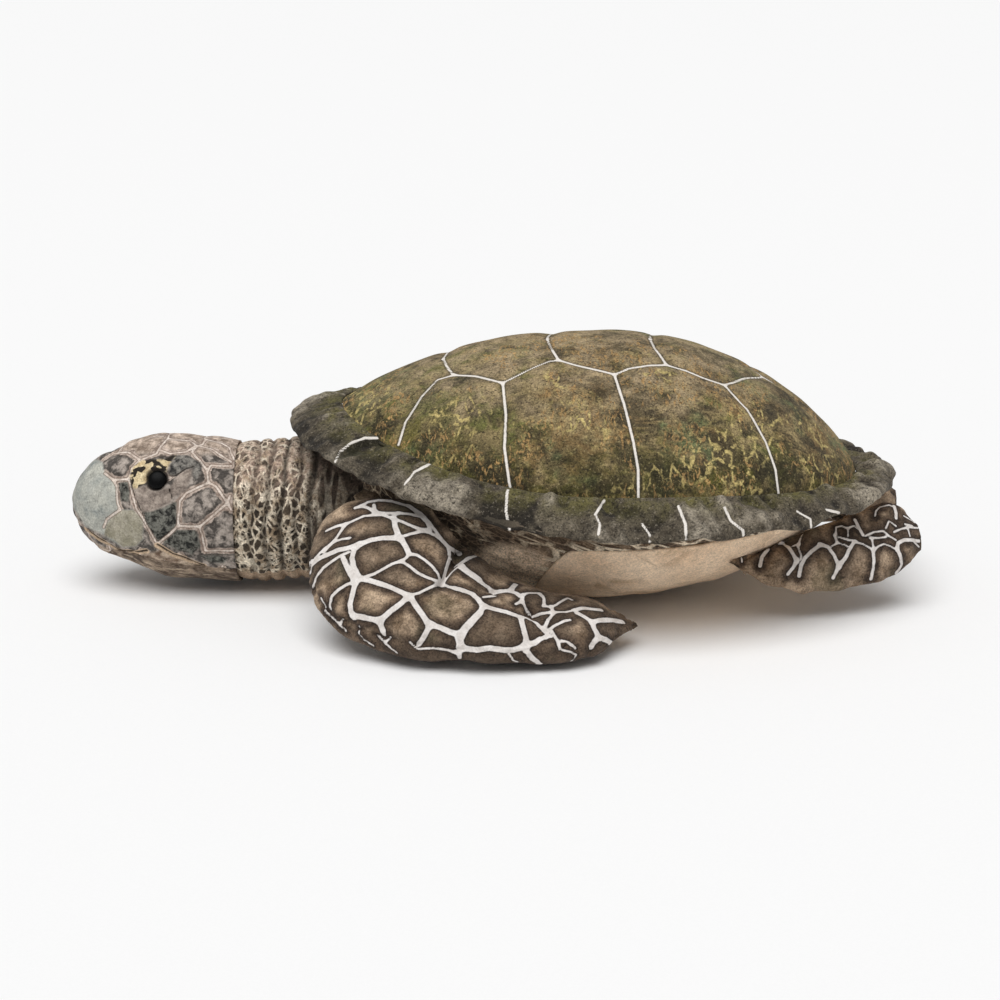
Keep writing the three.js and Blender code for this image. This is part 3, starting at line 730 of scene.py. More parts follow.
FRONT_NET = {
    "upper arm post": ((394, 518), (395, 526), (398, 534), (401, 539), (406, 547), (409, 554)),
    "upper arm ring": ((310, 564), (317, 559), (329, 554), (338, 550), (348, 548), (360, 544), (371, 540),
        (383, 538), (394, 538), (401, 539)),
    "cell left": ((360, 544), (354, 550), (352, 558), (354, 567), (358, 576)),
    "left down": ((343, 558), (346, 565), (349, 571), (353, 578), (355, 583)),
    "cell nine left": ((356, 581), (354, 588), (352, 596), (350, 604), (351, 612), (354, 617)),
    "cell nine top": ((357, 578), (368, 580), (378, 583), (390, 587), (401, 592), (410, 596)),
    "cell nine foot": ((353, 616), (362, 617), (371, 619), (380, 621)),
    "cell nine right": ((380, 621), (385, 616), (392, 610), (399, 605), (408, 597)),
    "first foot": ((379, 620), (381, 626), (384, 634)),
    "forearm left edge": ((410, 596), (416, 606), (422, 614), (427, 622), (431, 625)),
    "second foot": ((430, 625), (426, 633), (422, 640), (419, 644)),
    "forearm low": ((430, 624), (441, 628), (450, 632), (461, 635)),
    "forearm right": ((461, 635), (466, 628), (472, 622), (480, 613)),
    "third foot": ((461, 634), (460, 640), (462, 647)),
    "elbow border": ((449, 549), (450, 558), (446, 570), (442, 583)),
    "pocket": ((460, 564), (468, 571), (480, 579)),
    "pocket outer": ((460, 567), (468, 573), (478, 580), (485, 585), (491, 592)),
    "pocket floor": ((491, 593), (499, 592), (508, 591), (516, 593), (520, 596)),
    "rear cell post": ((511, 590), (516, 584), (520, 577)),
    "rear cell top": ((501, 575), (507, 572), (513, 574), (519, 577), (527, 577)),
    "blade right": ((521, 619), (523, 627), (526, 638), (526, 645)),
    "blade foot": ((526, 645), (534, 643), (542, 638), (551, 636)),
    "blade seam": ((459, 648), (462, 648), (477, 650), (490, 648), (504, 650), (513, 650), (526, 646)),
    "blade top": ((484, 606), (494, 609), (506, 612), (518, 616), (523, 617)),
    "forearm right outer": ((459, 638), (465, 628), (472, 620), (479, 613), (484, 606)),
    "forearm upper": ((472, 594), (477, 598), (481, 603), (484, 606)),
    "blade last foot": ((526, 646), (526, 651), (533, 659), (540, 664)),
    "tip post": ((577, 613), (583, 616), (591, 621), (594, 628), (599, 637)),
    "tip foot": ((599, 637), (606, 640), (615, 646)),
    "tip fork": ((599, 637), (594, 642), (591, 647)),
    "tip top": ((592, 622), (600, 620), (612, 620), (623, 622)),
    "tip ridge": ((574, 610), (583, 608), (592, 609), (601, 610)),
    "third foot outer": ((459, 638), (460, 644), (462, 649)),
}

FRONT_THIN_NET = {
    "crest": ((361, 506), (368, 502), (379, 500), (391, 501), (401, 504), (409, 506), (415, 511),
        (420, 516), (427, 523), (430, 530)),
    "crest rear": ((409, 506), (422, 514), (430, 523), (438, 534), (445, 544), (452, 549), (460, 554)),
    "rear border": ((426, 531), (436, 536), (444, 542), (449, 549), (455, 553), (460, 554)),
    "crest fork": ((355, 508), (361, 506), (368, 508), (375, 512)),
    "crest spot": ((374, 505), (375, 512)),
    "crest low": ((375, 512), (385, 513), (398, 513), (410, 514), (417, 516)),
    "first ring": ((326, 531), (330, 529), (337, 526), (346, 524), (355, 520), (364, 516), (374, 515),
        (383, 515), (392, 518)),
    "ring step": ((392, 518), (395, 515), (398, 513)),
    "shoulder rear": ((395, 519), (403, 522), (412, 526), (420, 529), (426, 531)),
    "shoulder link": ((401, 537), (410, 534), (419, 532), (426, 530)),
    "left slant": ((346, 524), (341, 531), (337, 537), (331, 544), (324, 552)),
    "upper thin": ((315, 558), (324, 549), (334, 542), (342, 539), (350, 538)),
    "left edge": ((309, 580), (310, 573), (312, 566), (317, 561), (325, 556), (329, 554)),
    "left long": ((310, 595), (313, 587), (317, 576), (323, 568), (331, 562), (340, 556), (349, 552)),
    "left loop": ((331, 609), (330, 604), (332, 596), (338, 590), (346, 585), (355, 581)),
    "elbow upper": ((409, 554), (417, 555), (425, 560), (432, 566), (438, 574), (441, 583)),
    "elbow middle": ((401, 561), (409, 566), (418, 573), (426, 577), (434, 580), (442, 584)),
    "cell six top": ((409, 554), (406, 558), (401, 561), (392, 564), (383, 569), (374, 574), (365, 577),
        (357, 578)),
    "forearm upper": ((441, 584), (449, 587), (458, 589), (468, 592), (474, 594), (479, 599)),
    "forearm left": ((410, 595), (419, 593), (427, 589), (436, 585), (441, 584)),
    "forearm fold": ((443, 583), (452, 572), (461, 564), (470, 558), (477, 555)),
    "forearm fold outer": ((455, 567), (460, 563), (467, 558), (476, 556)),
    "forearm ridge": ((455, 588), (462, 590), (472, 594)),
    "pocket shelf": ((484, 597), (495, 596)),
    "dimple crown": ((520, 596), (528, 593), (537, 593), (542, 596)),
    "dimple left": ((523, 594), (522, 600), (525, 608), (529, 614)),
    "dimple right": ((540, 593), (544, 599), (544, 606)),
    "dimple spur": ((516, 604), (522, 601)),
    "dimple foot": ((544, 606), (550, 607), (556, 605), (562, 601), (568, 598), (572, 600)),
    "dimple low": ((551, 606), (553, 612)),
    "dimple shelf": ((533, 617), (540, 614), (553, 612), (566, 612), (575, 610)),
    "slant": ((554, 613), (548, 620), (544, 629)),
    "blade slant": ((524, 617), (533, 621), (539, 626), (545, 631), (547, 634)),
    "blade ridge": ((547, 632), (554, 626), (564, 621), (570, 620)),
    "blade spot": ((552, 632), (557, 640), (560, 649)),
    "blade curl": ((562, 641), (569, 643), (575, 648)),
}

FRONT_UNDER_NET = {
    "first": ((321, 598), (324, 603), (326, 607)),
    "second": ((325, 611), (332, 617), (340, 624), (343, 619)),
    "third": ((340, 624), (346, 631)),
    "fourth": ((359, 626), (359, 633), (364, 640), (374, 646)),
    "fifth": ((378, 635), (385, 643), (391, 637)),
    "sixth": ((385, 643), (397, 653)),
    "seventh": ((410, 642), (415, 647), (418, 649), (433, 648), (448, 650), (458, 654)),
    "eighth": ((461, 650), (459, 654), (461, 662)),
    "ninth": ((455, 651), (460, 653), (459, 657), (461, 662)),
    "tenth": ((507, 651), (513, 660), (523, 664)),
    "eleventh": ((562, 650), (571, 652), (576, 655), (571, 661)),
    "twelfth": ((608, 645), (614, 647)),
}

REAR_NET = {
    "first left": ((760, 566), (762, 557), (768, 549), (775, 543)),
    "first right": ((775, 543), (783, 543), (789, 548), (793, 554), (797, 561)),
    "first foot": ((797, 560), (793, 568), (788, 574)),
    "second left": ((799, 576), (801, 566), (805, 558), (812, 551), (820, 545)),
    "second right": ((820, 544), (828, 547), (834, 555), (838, 564), (839, 567)),
    "third left": ((839, 566), (846, 557), (849, 550), (854, 542)),
    "second foot": ((839, 566), (836, 572), (833, 578)),
    "rim post": ((855, 520), (858, 526), (863, 535)),
    "fourth post": ((873, 550), (874, 561), (873, 570), (871, 579)),
    "fifth right": ((897, 549), (900, 555), (902, 564), (899, 570), (893, 576), (889, 580)),
    "fifth top": ((897, 549), (898, 543), (904, 540), (912, 540), (919, 541)),
    "high post": ((894, 506), (896, 513), (896, 518)),
}

REAR_THIN_NET = {
    "root": ((742, 562), (741, 554), (744, 550), (751, 547)),
    "rim left": ((803, 534), (800, 540), (798, 547), (801, 555), (801, 560)),
    "rim left link": ((793, 546), (799, 544)),
    "third top": ((832, 546), (838, 543), (845, 545), (850, 548)),
    "small post": ((834, 535), (837, 542)),
    "small shelf": ((839, 537), (848, 540), (856, 541)),
    "small loops": ((836, 534), (836, 527), (842, 526), (848, 529), (848, 536)),
    "small loop": ((848, 528), (854, 526), (858, 529)),
    "third rear": ((855, 542), (863, 544), (870, 548), (873, 551)),
    "fourth step": ((874, 550), (872, 539)),
    "fourth top": ((874, 550), (879, 546), (884, 544), (890, 546), (897, 550)),
    "sixth right": ((913, 541), (919, 547), (920, 554), (917, 560)),
    "high row": ((865, 536), (874, 532), (883, 531), (889, 536), (896, 540)),
    "high row foot": ((870, 538), (879, 538), (886, 537)),
    "high row rear": ((894, 532), (901, 529), (909, 527), (918, 528)),
    "high hook": ((886, 528), (889, 521), (896, 526)),
    "crest left": ((875, 516), (876, 511), (880, 507), (889, 505), (894, 507)),
    "crest right": ((897, 509), (904, 509), (912, 511), (917, 515)),
    "crest low": ((904, 516), (911, 520), (918, 525)),
    "crest foot": ((905, 524), (912, 526)),
    "tip post": ((908, 529), (910, 536)),
}

# For each net: how much thinner its lines are than the widest, in millimetres, and the lines
FRONT_NETS = ((0.0, FRONT_NET), (0.75, FRONT_THIN_NET), (1.05, FRONT_UNDER_NET))
REAR_NETS = ((0.0, REAR_NET), (0.6, REAR_THIN_NET))

HEAD_NET = {
    "cheek": ((208.5, 482.2), (186.1, 493), (179.5, 501.3), (177.8, 526.1), (199.4, 527), (215.9, 512.9),
        (227.5, 502.9), (215.9, 486.3), (208.5, 482.2)),
    "cheek foot": ((177.8, 526.1), (169.5, 534.4), (157.1, 544.4)),
    "lower cheek": ((199.4, 527), (202.7, 539.4), (205.2, 551), (233.3, 551)),
    "rear cheek": ((227.5, 502.9), (235.8, 517.8), (241.6, 531.1), (237.5, 546), (233.3, 551)),
    "rear upper": ((227.5, 502.9), (230, 495.5), (237.5, 486.3), (239.5, 478)),
    "temple": ((208.5, 482.2), (206.8, 471.4), (211, 464.8), (222.6, 465.6), (235.8, 464.8)),
    "nape left": ((206.8, 469.8), (199.4, 459.8), (191.9, 451.8), (197.7, 444.9), (211, 448.2),
        (225.9, 458.1), (235.8, 464.8)),
    "eye patch front": ((157.1, 544.4), (143, 519.5), (136.3, 509.6), (131.7, 493), (128.4, 478)),
    "snout scute top": ((103.2, 459.8), (113.1, 453.2), (128, 451.5), (139.7, 459.8)),
    "snout scute foot": ((104.8, 473.1), (113.1, 479.7), (128, 478.9)),
    "snout scute rear": ((139.7, 459.8), (131.7, 468.1), (128.4, 478)),
    "beak rear": ((113.1, 479.7), (116.4, 486.3), (117.3, 502.9), (119.8, 509.6)),
    "beak foot": ((119.8, 509.6), (106.5, 519.5), (103.2, 527.8)),
    "brow": ((139.7, 459.8), (156.2, 453.2), (161.5, 444.9), (167.8, 438.2), (169.8, 433.6)),
    "crown left": ((128, 441.6), (139.7, 436.6), (162.9, 435.9)),
    "crown front": ((128, 441.6), (122.7, 446.5), (118.1, 451.5)),
    "crown middle": ((161.2, 449.9), (169.5, 453.2), (186.1, 451.5), (196, 444.9), (189.4, 439.9),
        (167.8, 438.2)),
    "crown right": ((172.8, 433.6), (199.4, 435.3), (206, 438.6), (202.7, 443.5), (197.7, 444.9)),
    "crown rear": ((206, 438.6), (219.3, 441.6), (229.5, 447.4), (235.8, 463.4)),
}

HEAD_AREAS = {
    "beak": ((102.3, 461.5), (104.8, 473.1), (113.1, 479.7), (116.4, 486.3), (117.3, 502.9), (119.8, 509.6),
        (133, 509.6), (143, 519.5), (143, 538.6), (136.3, 546), (123.1, 546.9), (99.9, 532.8),
        (85.8, 526.1), (73.3, 506.2), (73.3, 486.3), (80, 469.8), (91.6, 458.1)),
    "beak plate": ((118.1, 510.4), (133, 509.6), (143, 519.5), (143, 538.6), (136.3, 546), (123.1, 546.9),
        (112.3, 538.6), (104, 536.1), (105.7, 526.1), (113.9, 512.9)),
    "eye patch": ((134.7, 489.7), (143, 485.5), (148.8, 486.3), (169.5, 488.8), (176.1, 476.4),
        (186.1, 469.8), (192.7, 468.1), (191.9, 474.7), (186.1, 491.3), (172.8, 497.9), (169.5, 502.9),
        (152.9, 510.9), (141.3, 512), (137.2, 506.2), (135.5, 497.9)),
    "yellow lid": ((130.5, 486.3), (129.4, 474.7), (133, 466.4), (141.3, 459.8), (152.9, 459),
        (162.9, 459.8), (172.8, 454), (176.1, 455.7), (169.5, 464.8), (164.5, 473.1), (159.6, 473.1),
        (149.6, 474.7), (144.6, 484.7), (136.3, 488.8)),
    "grey lid": ((169.5, 464.8), (176.1, 455.2), (189.4, 455.7), (201, 462.3), (202.7, 468.1), (196, 481.4),
        (191.9, 474.7), (193.5, 468.1), (184.4, 469.8), (176.1, 475.6), (167.8, 474.7)),
    "dark cheek": ((119.8, 482.2), (128, 481.4), (130, 493), (128, 502.1), (120.6, 501.3)),
    "green cheek": ((143, 512.9), (162.9, 507.9), (176.1, 501.3), (177.5, 526.1), (169.5, 534.4),
        (157.9, 542.7), (144.6, 522.8)),
    "lower cheek": ((162.9, 542.7), (176.1, 529.5), (196, 530.3), (201, 546), (192.7, 554.3), (176.1, 549.4)),
    "dark under": ((199.4, 556), (212.6, 555.2), (227.5, 557.6), (224.2, 563.4), (212.6, 562.6)),
}

# The areas that each tint of the head's paint covers
HEAD_TINTS = {
    "beak": ("beak", "beak plate"),
    "plate": ("beak plate",),
    "patch": ("eye patch",),
    "yellow": ("yellow lid",),
    "lid": ("grey lid",),
    "dusk": ("dark cheek", "green cheek", "lower cheek", "dark under"),
}

# Where the chin's tan starts: places across the picture, and the height at each
CHIN_ACROSS = (80.0, 105.0, 130.0, 160.0, 200.0, 240.0)
CHIN_HEIGHT = (534, 547, 557, 549, 565, 570)

# The dark lines of the mouth, and the creases round the eye
SMILE = {
    "mouth": ((85.8, 529.5), (101.5, 540.2), (119.8, 551.0), (136.3, 552.7), (146.3, 551.0)),
    "jaw line": ((157.1, 545.4), (172.8, 554.3), (186.1, 559.3), (199.4, 564.3), (212.6, 567.6),
        (228, 569.3)),
}
CREASES = {
    "eye patch edge": ((131.0, 487.0), (135.0, 497.0), (139.0, 508.0), (143.0, 516.0)),
    "eye corner": ((169.5, 489.7), (172.8, 500.0)),
    "under the brow": ((165.0, 476.0), (176.1, 475.0), (186.0, 468.5), (194.0, 466.0)),
    "lid fold": ((146.0, 475.0), (150.5, 484.0)),
}

# The skin behind the front flipper that is plain tan
SHOULDER_AREA = ((462, 556), (505, 545), (548, 552), (560, 600), (500, 600))

# The front flipper's pinch at the elbow, with its depth and that of the slump round it, in millimetres,
# and for each dimple its place in pixels, and its depth and its width in millimetres
PINCH_DEPTH = 6.5
PINCH_SLUMP = 1.8
PINCH = ((463, 548), (453, 562), (447, 573), (442, 583))
DIMPLES = (((533, 611), 6.5, 5.0), ((494, 588), 4.6, 4.5), ((546, 632), 2.6, 6.0), ((506, 573), 2.4, 4.0))

# Steps along a line in pixels, the finer ones of lines that end at the middle, and the longest jump in
# millimetres before it is taken as two lines
LINE_STEP = 4.0
FINE_LINE_STEP = LINE_STEP / 3.0
LINE_JUMP = 14.0
# The way in millimetres past which a line no longer counts
FAR = 40.0
# Added to the way to a filled-in cell's edge, in millimetres, where the drawn lines rule
CELLS_OUT = 20.0
# The width of a scute on the sides of the head that the picture doesn't show
SCUTE_SIZE = 14.0
# The waves that one ripple adds up, and the most places that a scatter of cells is picked from
RIPPLE_WAVES = 9
SCATTER_PICK = 6000


def laid_lines(mesh, lines, middle=False):
    """Lays lines of picture places on a mesh, and gives their runs of places, in millimetres.

    With middle, a line ends where it meets the plane between the left and the right half.
    """
    bm = bmesh.new()
    bm.from_mesh(mesh)
    tree = BVHTree.FromBMesh(bm)
    bm.free()
    eye = Vector(CAMERA_PLACE) * MM
    line_step = FINE_LINE_STEP if middle else LINE_STEP
    runs = []
    for line in lines:
        points = np.array(line, float)
        run = []
        for a, b in zip(points[:-1], points[1:]):
            steps = max(1, int(np.hypot(*(b - a)) / line_step))
            for i in range(steps + 1):
                hit = tree.ray_cast(eye, sight_line(*mix(a, b, i / steps)))[0]
                if hit is None:
                    continue
                place = np.array(hit) / MM
                if run and np.linalg.norm(place - run[-1]) > LINE_JUMP:
                    runs.append(run)
                    run = []
                if middle and place[1] > 0.0:
                    if run:
                        last = run[-1]
                        run.append(mix(last, place, last[1] / (last[1] - place[1])))
                    break
                run.append(place)
            else:
                continue
            break
        runs.append(run)
    return [np.array(run) for run in runs if len(run) > 1]


def both_sides(runs):
    return runs + [run * np.array((1.0, -1.0, 1.0)) for run in runs]


def run_distance(places, run):
    """The shortest way from each place to a run of places."""
    nearest = np.full(len(places), FAR)
    for a, b in zip(run[:-1], run[1:]):
        along = b - a
        length = max(float(along @ along), 1e-9)
        share = np.clip((places - a) @ along / length, 0.0, 1.0)
        nearest = np.minimum(nearest, np.linalg.norm(places - a - share[:, None] * along, axis=1))
    return nearest


def line_distance(places, runs, spread=0.8):
    """The way from each place to the nearest line, which swells a little where lines meet."""
    total = np.full(len(places), math.exp(-FAR / spread))
    for run in runs:
        low, high = run.min(axis=0) - FAR / 2, run.max(axis=0) + FAR / 2
        near = np.all((places > low) & (places < high), axis=1)
        if near.any():
            total[near] += np.exp(-run_distance(places[near], run) / spread)
    return -spread * np.log(total)


def scattered(places, size, seed):
    """Places picked at random, none nearer to another than size."""
    order = np.random.default_rng(seed).permutation(len(places))[:SCATTER_PICK]
    kept = np.empty((0, 3))
    for place in places[order]:
        if not len(kept) or np.min(np.sum((kept - place) ** 2, axis=1)) > size * size:
            kept = np.vstack([kept, place])
    return kept


def cell_distance(places, size, seed):
    """The way from each place to the edge of its cell in a scatter of cells."""
    middles = scattered(places, size, seed)
    first = np.full(len(places), np.inf)
    second = np.full(len(places), np.inf)
    own = np.zeros(len(places), int)
    other = np.zeros(len(places), int)
    for i, middle in enumerate(middles):
        square = np.sum((places - middle) ** 2, axis=1)
        nearer = square < first
        between = ~nearer & (square < second)
        second = np.where(nearer, first, np.where(between, square, second))
        other = np.where(nearer, own, np.where(between, i, other))
        first = np.where(nearer, square, first)
        own = np.where(nearer, i, own)
    apart = np.linalg.norm(middles[own] - middles[other], axis=1)
    return (second - first) / (2.0 * np.maximum(apart, 1e-6))


def ripple(places, size, seed):
    """A smooth uneven field from -1 to 1, with swells of about that size in millimetres."""
    chance = np.random.default_rng(seed)
    total = np.zeros(len(places))
    for _wave in range(RIPPLE_WAVES):
        way = unit(chance.normal(size=3))
        length = size * chance.uniform(0.7, 1.6) * 2.0
        total += np.sin(places @ way * 2.0 * math.pi / length + chance.uniform(0, 2 * math.pi))
    return total / math.sqrt(RIPPLE_WAVES / 2.0) / 1.6


def inside_share(pixels, outline, soft=1.5):
    """1 inside an outline of picture places and 0 outside it, over a soft edge in pixels."""
    corners = np.array(outline, float)
    distance = np.full(len(pixels), np.inf)
    inside = np.zeros(len(pixels), bool)
    for a, b in zip(corners, np.roll(corners, -1, axis=0)):
        along = b - a
        share = np.clip((pixels - a) @ along / max(float(along @ along), 1e-9), 0.0, 1.0)
        distance = np.minimum(distance, np.linalg.norm(pixels - a - share[:, None] * along, axis=1))
        crosses = (a[1] > pixels[:, 1]) != (b[1] > pixels[:, 1])
        rise = b[1] - a[1] if b[1] != a[1] else 1e-9
        inside ^= crosses & (pixels[:, 0] < a[0] + (pixels[:, 1] - a[1]) / rise * (b[0] - a[0]))
    return smooth(-soft, soft, np.where(inside, distance, -distance))


# Shader trees

def add_node(tree, kind, inputs=(), **properties):
    node = tree.nodes.new(kind)
    for name, value in properties.items():
        setattr(node, name, value)
    for key, value in dict(inputs).items():
        if isinstance(value, bpy.types.NodeSocket):
            tree.links.new(value, node.inputs[key])
        else:
            node.inputs[key].default_value = value
    return node


def sum_of(tree, operation, *values, clamp=False):
    node = add_node(tree, "ShaderNodeMath", enumerate(values), operation=operation, use_clamp=clamp)
    return node.outputs[0]


def times(tree, a, b):
    return sum_of(tree, "MULTIPLY", a, b)


def spread_value(tree, value, start, end, low=0.0, high=1.0):
    """value, eased from low at start to high at end."""
    inputs = {"Value": value, "From Min": start, "From Max": end, "To Min": low, "To Max": high}
    return add_node(tree, "ShaderNodeMapRange", inputs, interpolation_type="SMOOTHSTEP").outputs[0]


def colour_between(tree, share, a, b, blend="MIX"):
    a, b = (value if isinstance(value, bpy.types.NodeSocket) else (*value, 1.0) for value in (a, b))
    node = add_node(tree, "ShaderNodeMix", {0: share, 6: a, 7: b}, data_type="RGBA", blend_type=blend)
    return node.outputs[2]


def tinted(tree, colour, share, most, tint):
    """The colour with a tint over it, which covers most of it where the share is 1."""
    return colour_between(tree, times(tree, share, most), colour, tint)


def value_of(tree, name):
    return add_node(tree, "ShaderNodeAttribute", attribute_name=name).outputs["Fac"]


def vector_of(tree, name):
    return add_node(tree, "ShaderNodeAttribute", attribute_name=name).outputs["Vector"]


def object_place(tree, stretch=(1.0, 1.0, 1.0), turn=(0.0, 0.0, 0.0), shift=(0.0, 0.0, 0.0)):
    place = add_node(tree, "ShaderNodeTexCoord").outputs["Object"]
    inputs = {"Vector": place, "Scale": stretch, "Rotation": turn, "Location": shift}
    return add_node(tree, "ShaderNodeMapping", inputs).outputs[0]


def stretched(tree, vector, stretch, shift=(0.0, 0.0, 0.0)):
    inputs = {"Vector": vector, "Scale": stretch, "Location": shift}
    return add_node(tree, "ShaderNodeMapping", inputs).outputs[0]


def clouds(tree, vector, scale, detail=3.0, roughness=0.55, warp=0.0):
    inputs = {"Vector": vector, "Scale": scale, "Detail": detail, "Roughness": roughness, "Distortion": warp}
    return add_node(tree, "ShaderNodeTexNoise", inputs).outputs["Fac"]


def crackle(tree, vector, scale):
    """The way to the edge of the nearest cell: the lines of a crackle are where it is near nothing."""
    inputs = {"Vector": vector, "Scale": scale, "Randomness": 1.0}
    node = add_node(tree, "ShaderNodeTexVoronoi", inputs, feature="DISTANCE_TO_EDGE")
    return node.outputs["Distance"]


def new_group(name, inputs, outputs):
    """A shader node group with float inputs, each with a default, and named outputs."""
    tree = bpy.data.node_groups.new(name, "ShaderNodeTree")
    for label, default in inputs:
        socket = tree.interface.new_socket(name=label, in_out="INPUT", socket_type="NodeSocketFloat")
        socket.default_value = default
    for label in outputs:
        tree.interface.new_socket(name=label, in_out="OUTPUT", socket_type="NodeSocketFloat")
    return tree, tree.nodes.new("NodeGroupInput"), tree.nodes.new("NodeGroupOutput")


def placed_group(tree, name, inputs=()):
    return add_node(tree, "ShaderNodeGroup", inputs, node_tree=bpy.data.node_groups[name])


def make_groups():
    """The effects that several cloths share: the pile, a printed line and a mottle."""
    tree, given, result = new_group(
        "Plush pile", (("Fibre Scale", 1500.0), ("Speckle", 0.35), ("Nap", 0.12)), ("Shade", "Height")
    )
    place = object_place(tree)
    fibre = clouds(tree, place, given.outputs["Fibre Scale"], 2.0, 0.7)
    nap = clouds(tree, place, 160.0, 3.0, 0.6)
    speckle = times(tree, sum_of(tree, "SUBTRACT", fibre, 0.5), given.outputs["Speckle"])
    brushed = times(tree, sum_of(tree, "SUBTRACT", nap, 0.5), given.outputs["Nap"])
    shade = sum_of(tree, "ADD", sum_of(tree, "ADD", speckle, brushed), 0.5)
    tree.links.new(shade, result.inputs["Shade"])
    height = sum_of(tree, "ADD", fibre, times(tree, nap, 0.6))
    tree.links.new(height, result.inputs["Height"])

    tree, given, result = new_group(
        "Printed line", (("Distance", 10.0), ("Half Width", 2.0), ("Blur", 0.35), ("Wobble", 0.8)), ("Mask",)
    )
    place = object_place(tree)
    rough = clouds(tree, place, 420.0, 3.0, 0.6)
    uneven = clouds(tree, place, 90.0, 2.0)
    wobble = sum_of(tree, "SUBTRACT", sum_of(tree, "ADD", rough, uneven), 1.0)
    moved = sum_of(tree, "MULTIPLY_ADD", wobble, given.outputs["Wobble"], given.outputs["Distance"])
    past = sum_of(tree, "SUBTRACT", moved, given.outputs["Half Width"])
    near = sum_of(tree, "DIVIDE", past, sum_of(tree, "MAXIMUM", given.outputs["Blur"], 0.01))
    tree.links.new(spread_value(tree, near, -1.0, 1.0, 1.0, 0.0), result.inputs["Mask"])

    tree, given, result = new_group(
        "Mottle", (("Scale", 60.0), ("Contrast", 3.0), ("Shift", 0.0)), ("Share",)
    )
    place = object_place(tree)
    shifted = add_node(tree, "ShaderNodeVectorMath", {0: place}, operation="ADD")
    tree.links.new(given.outputs["Shift"], shifted.inputs[1])
    patches = clouds(tree, shifted.outputs[0], given.outputs["Scale"], 5.0, 0.62, 0.4)
    share = times(tree, sum_of(tree, "SUBTRACT", patches, 0.5), given.outputs["Contrast"])
    tree.links.new(sum_of(tree, "ADD", share, 0.5, clamp=True), result.inputs["Share"])


def mottle(tree, scale, contrast=3.0, shift=0.0):
    inputs = {"Scale": scale, "Contrast": contrast, "Shift": shift}
    return placed_group(tree, "Mottle", inputs).outputs["Share"]


def printed(tree, distance, half_width, blur=0.35, wobble=0.8):
    inputs = {"Distance": distance, "Half Width": half_width, "Blur": blur, "Wobble": wobble}
    return placed_group(tree, "Printed line", inputs).outputs["Mask"]


def calm_share(tree, half_width):
    """Where the white net lies, as a share that reaches CALM_MOST."""
    return times(tree, printed(tree, value_of(tree, "net"), half_width, 0.3, 0.5), CALM_MOST)


def plush_material(name, paint, speckle=1.3, nap=0.6, calm=None):
    """A short-pile cloth. paint makes its colour. calm is half the width of a print with a faint grain."""
    material = bpy.data.materials.new(name)
    material.use_nodes = True
    tree = material.node_tree
    shader = tree.nodes["Principled BSDF"]
    pile = placed_group(tree, "Plush pile", {"Fibre Scale": FIBRE_SCALE, "Speckle": speckle, "Nap": nap})
    bright = times(tree, pile.outputs["Shade"], 2.0)
    if calm is not None:
        bright = add_node(tree, "ShaderNodeMix", {0: calm_share(tree, calm), 2: bright, 3: 1.0}).outputs[0]
    shade = add_node(tree, "ShaderNodeCombineXYZ", {0: bright, 1: bright, 2: bright}).outputs[0]
    colour = colour_between(tree, 1.0, paint(tree), shade, "MULTIPLY")
    tree.links.new(colour, shader.inputs["Base Color"])
    rough = spread_value(tree, pile.outputs["Shade"], 0.2, 0.8, 0.98, 0.86)
    tree.links.new(rough, shader.inputs["Roughness"])
    inputs = {"Height": pile.outputs["Height"], "Strength": PILE_RELIEF, "Distance": PILE_DEPTH}
    tree.links.new(add_node(tree, "ShaderNodeBump", inputs).outputs[0], shader.inputs["Normal"])
    shader.inputs["Sheen Weight"].default_value = PILE_SHEEN
    shader.inputs["Sheen Roughness"].default_value = 0.6
    shader.inputs["Specular IOR Level"].default_value = 0.25
    return material


# The cloths, each with the colours of its print

WHITE_LINE = (0.80, 0.75, 0.69)
# Half of the width of each cloth's printed lines, in millimetres
SHELL_LINE = 0.85
RIM_LINE = 0.9
FRONT_LINE = 1.75
REAR_LINE = 1.2
TAIL_LINE = 1.0
# How far a white line hides the pile's grain
CALM_MOST = 0.8


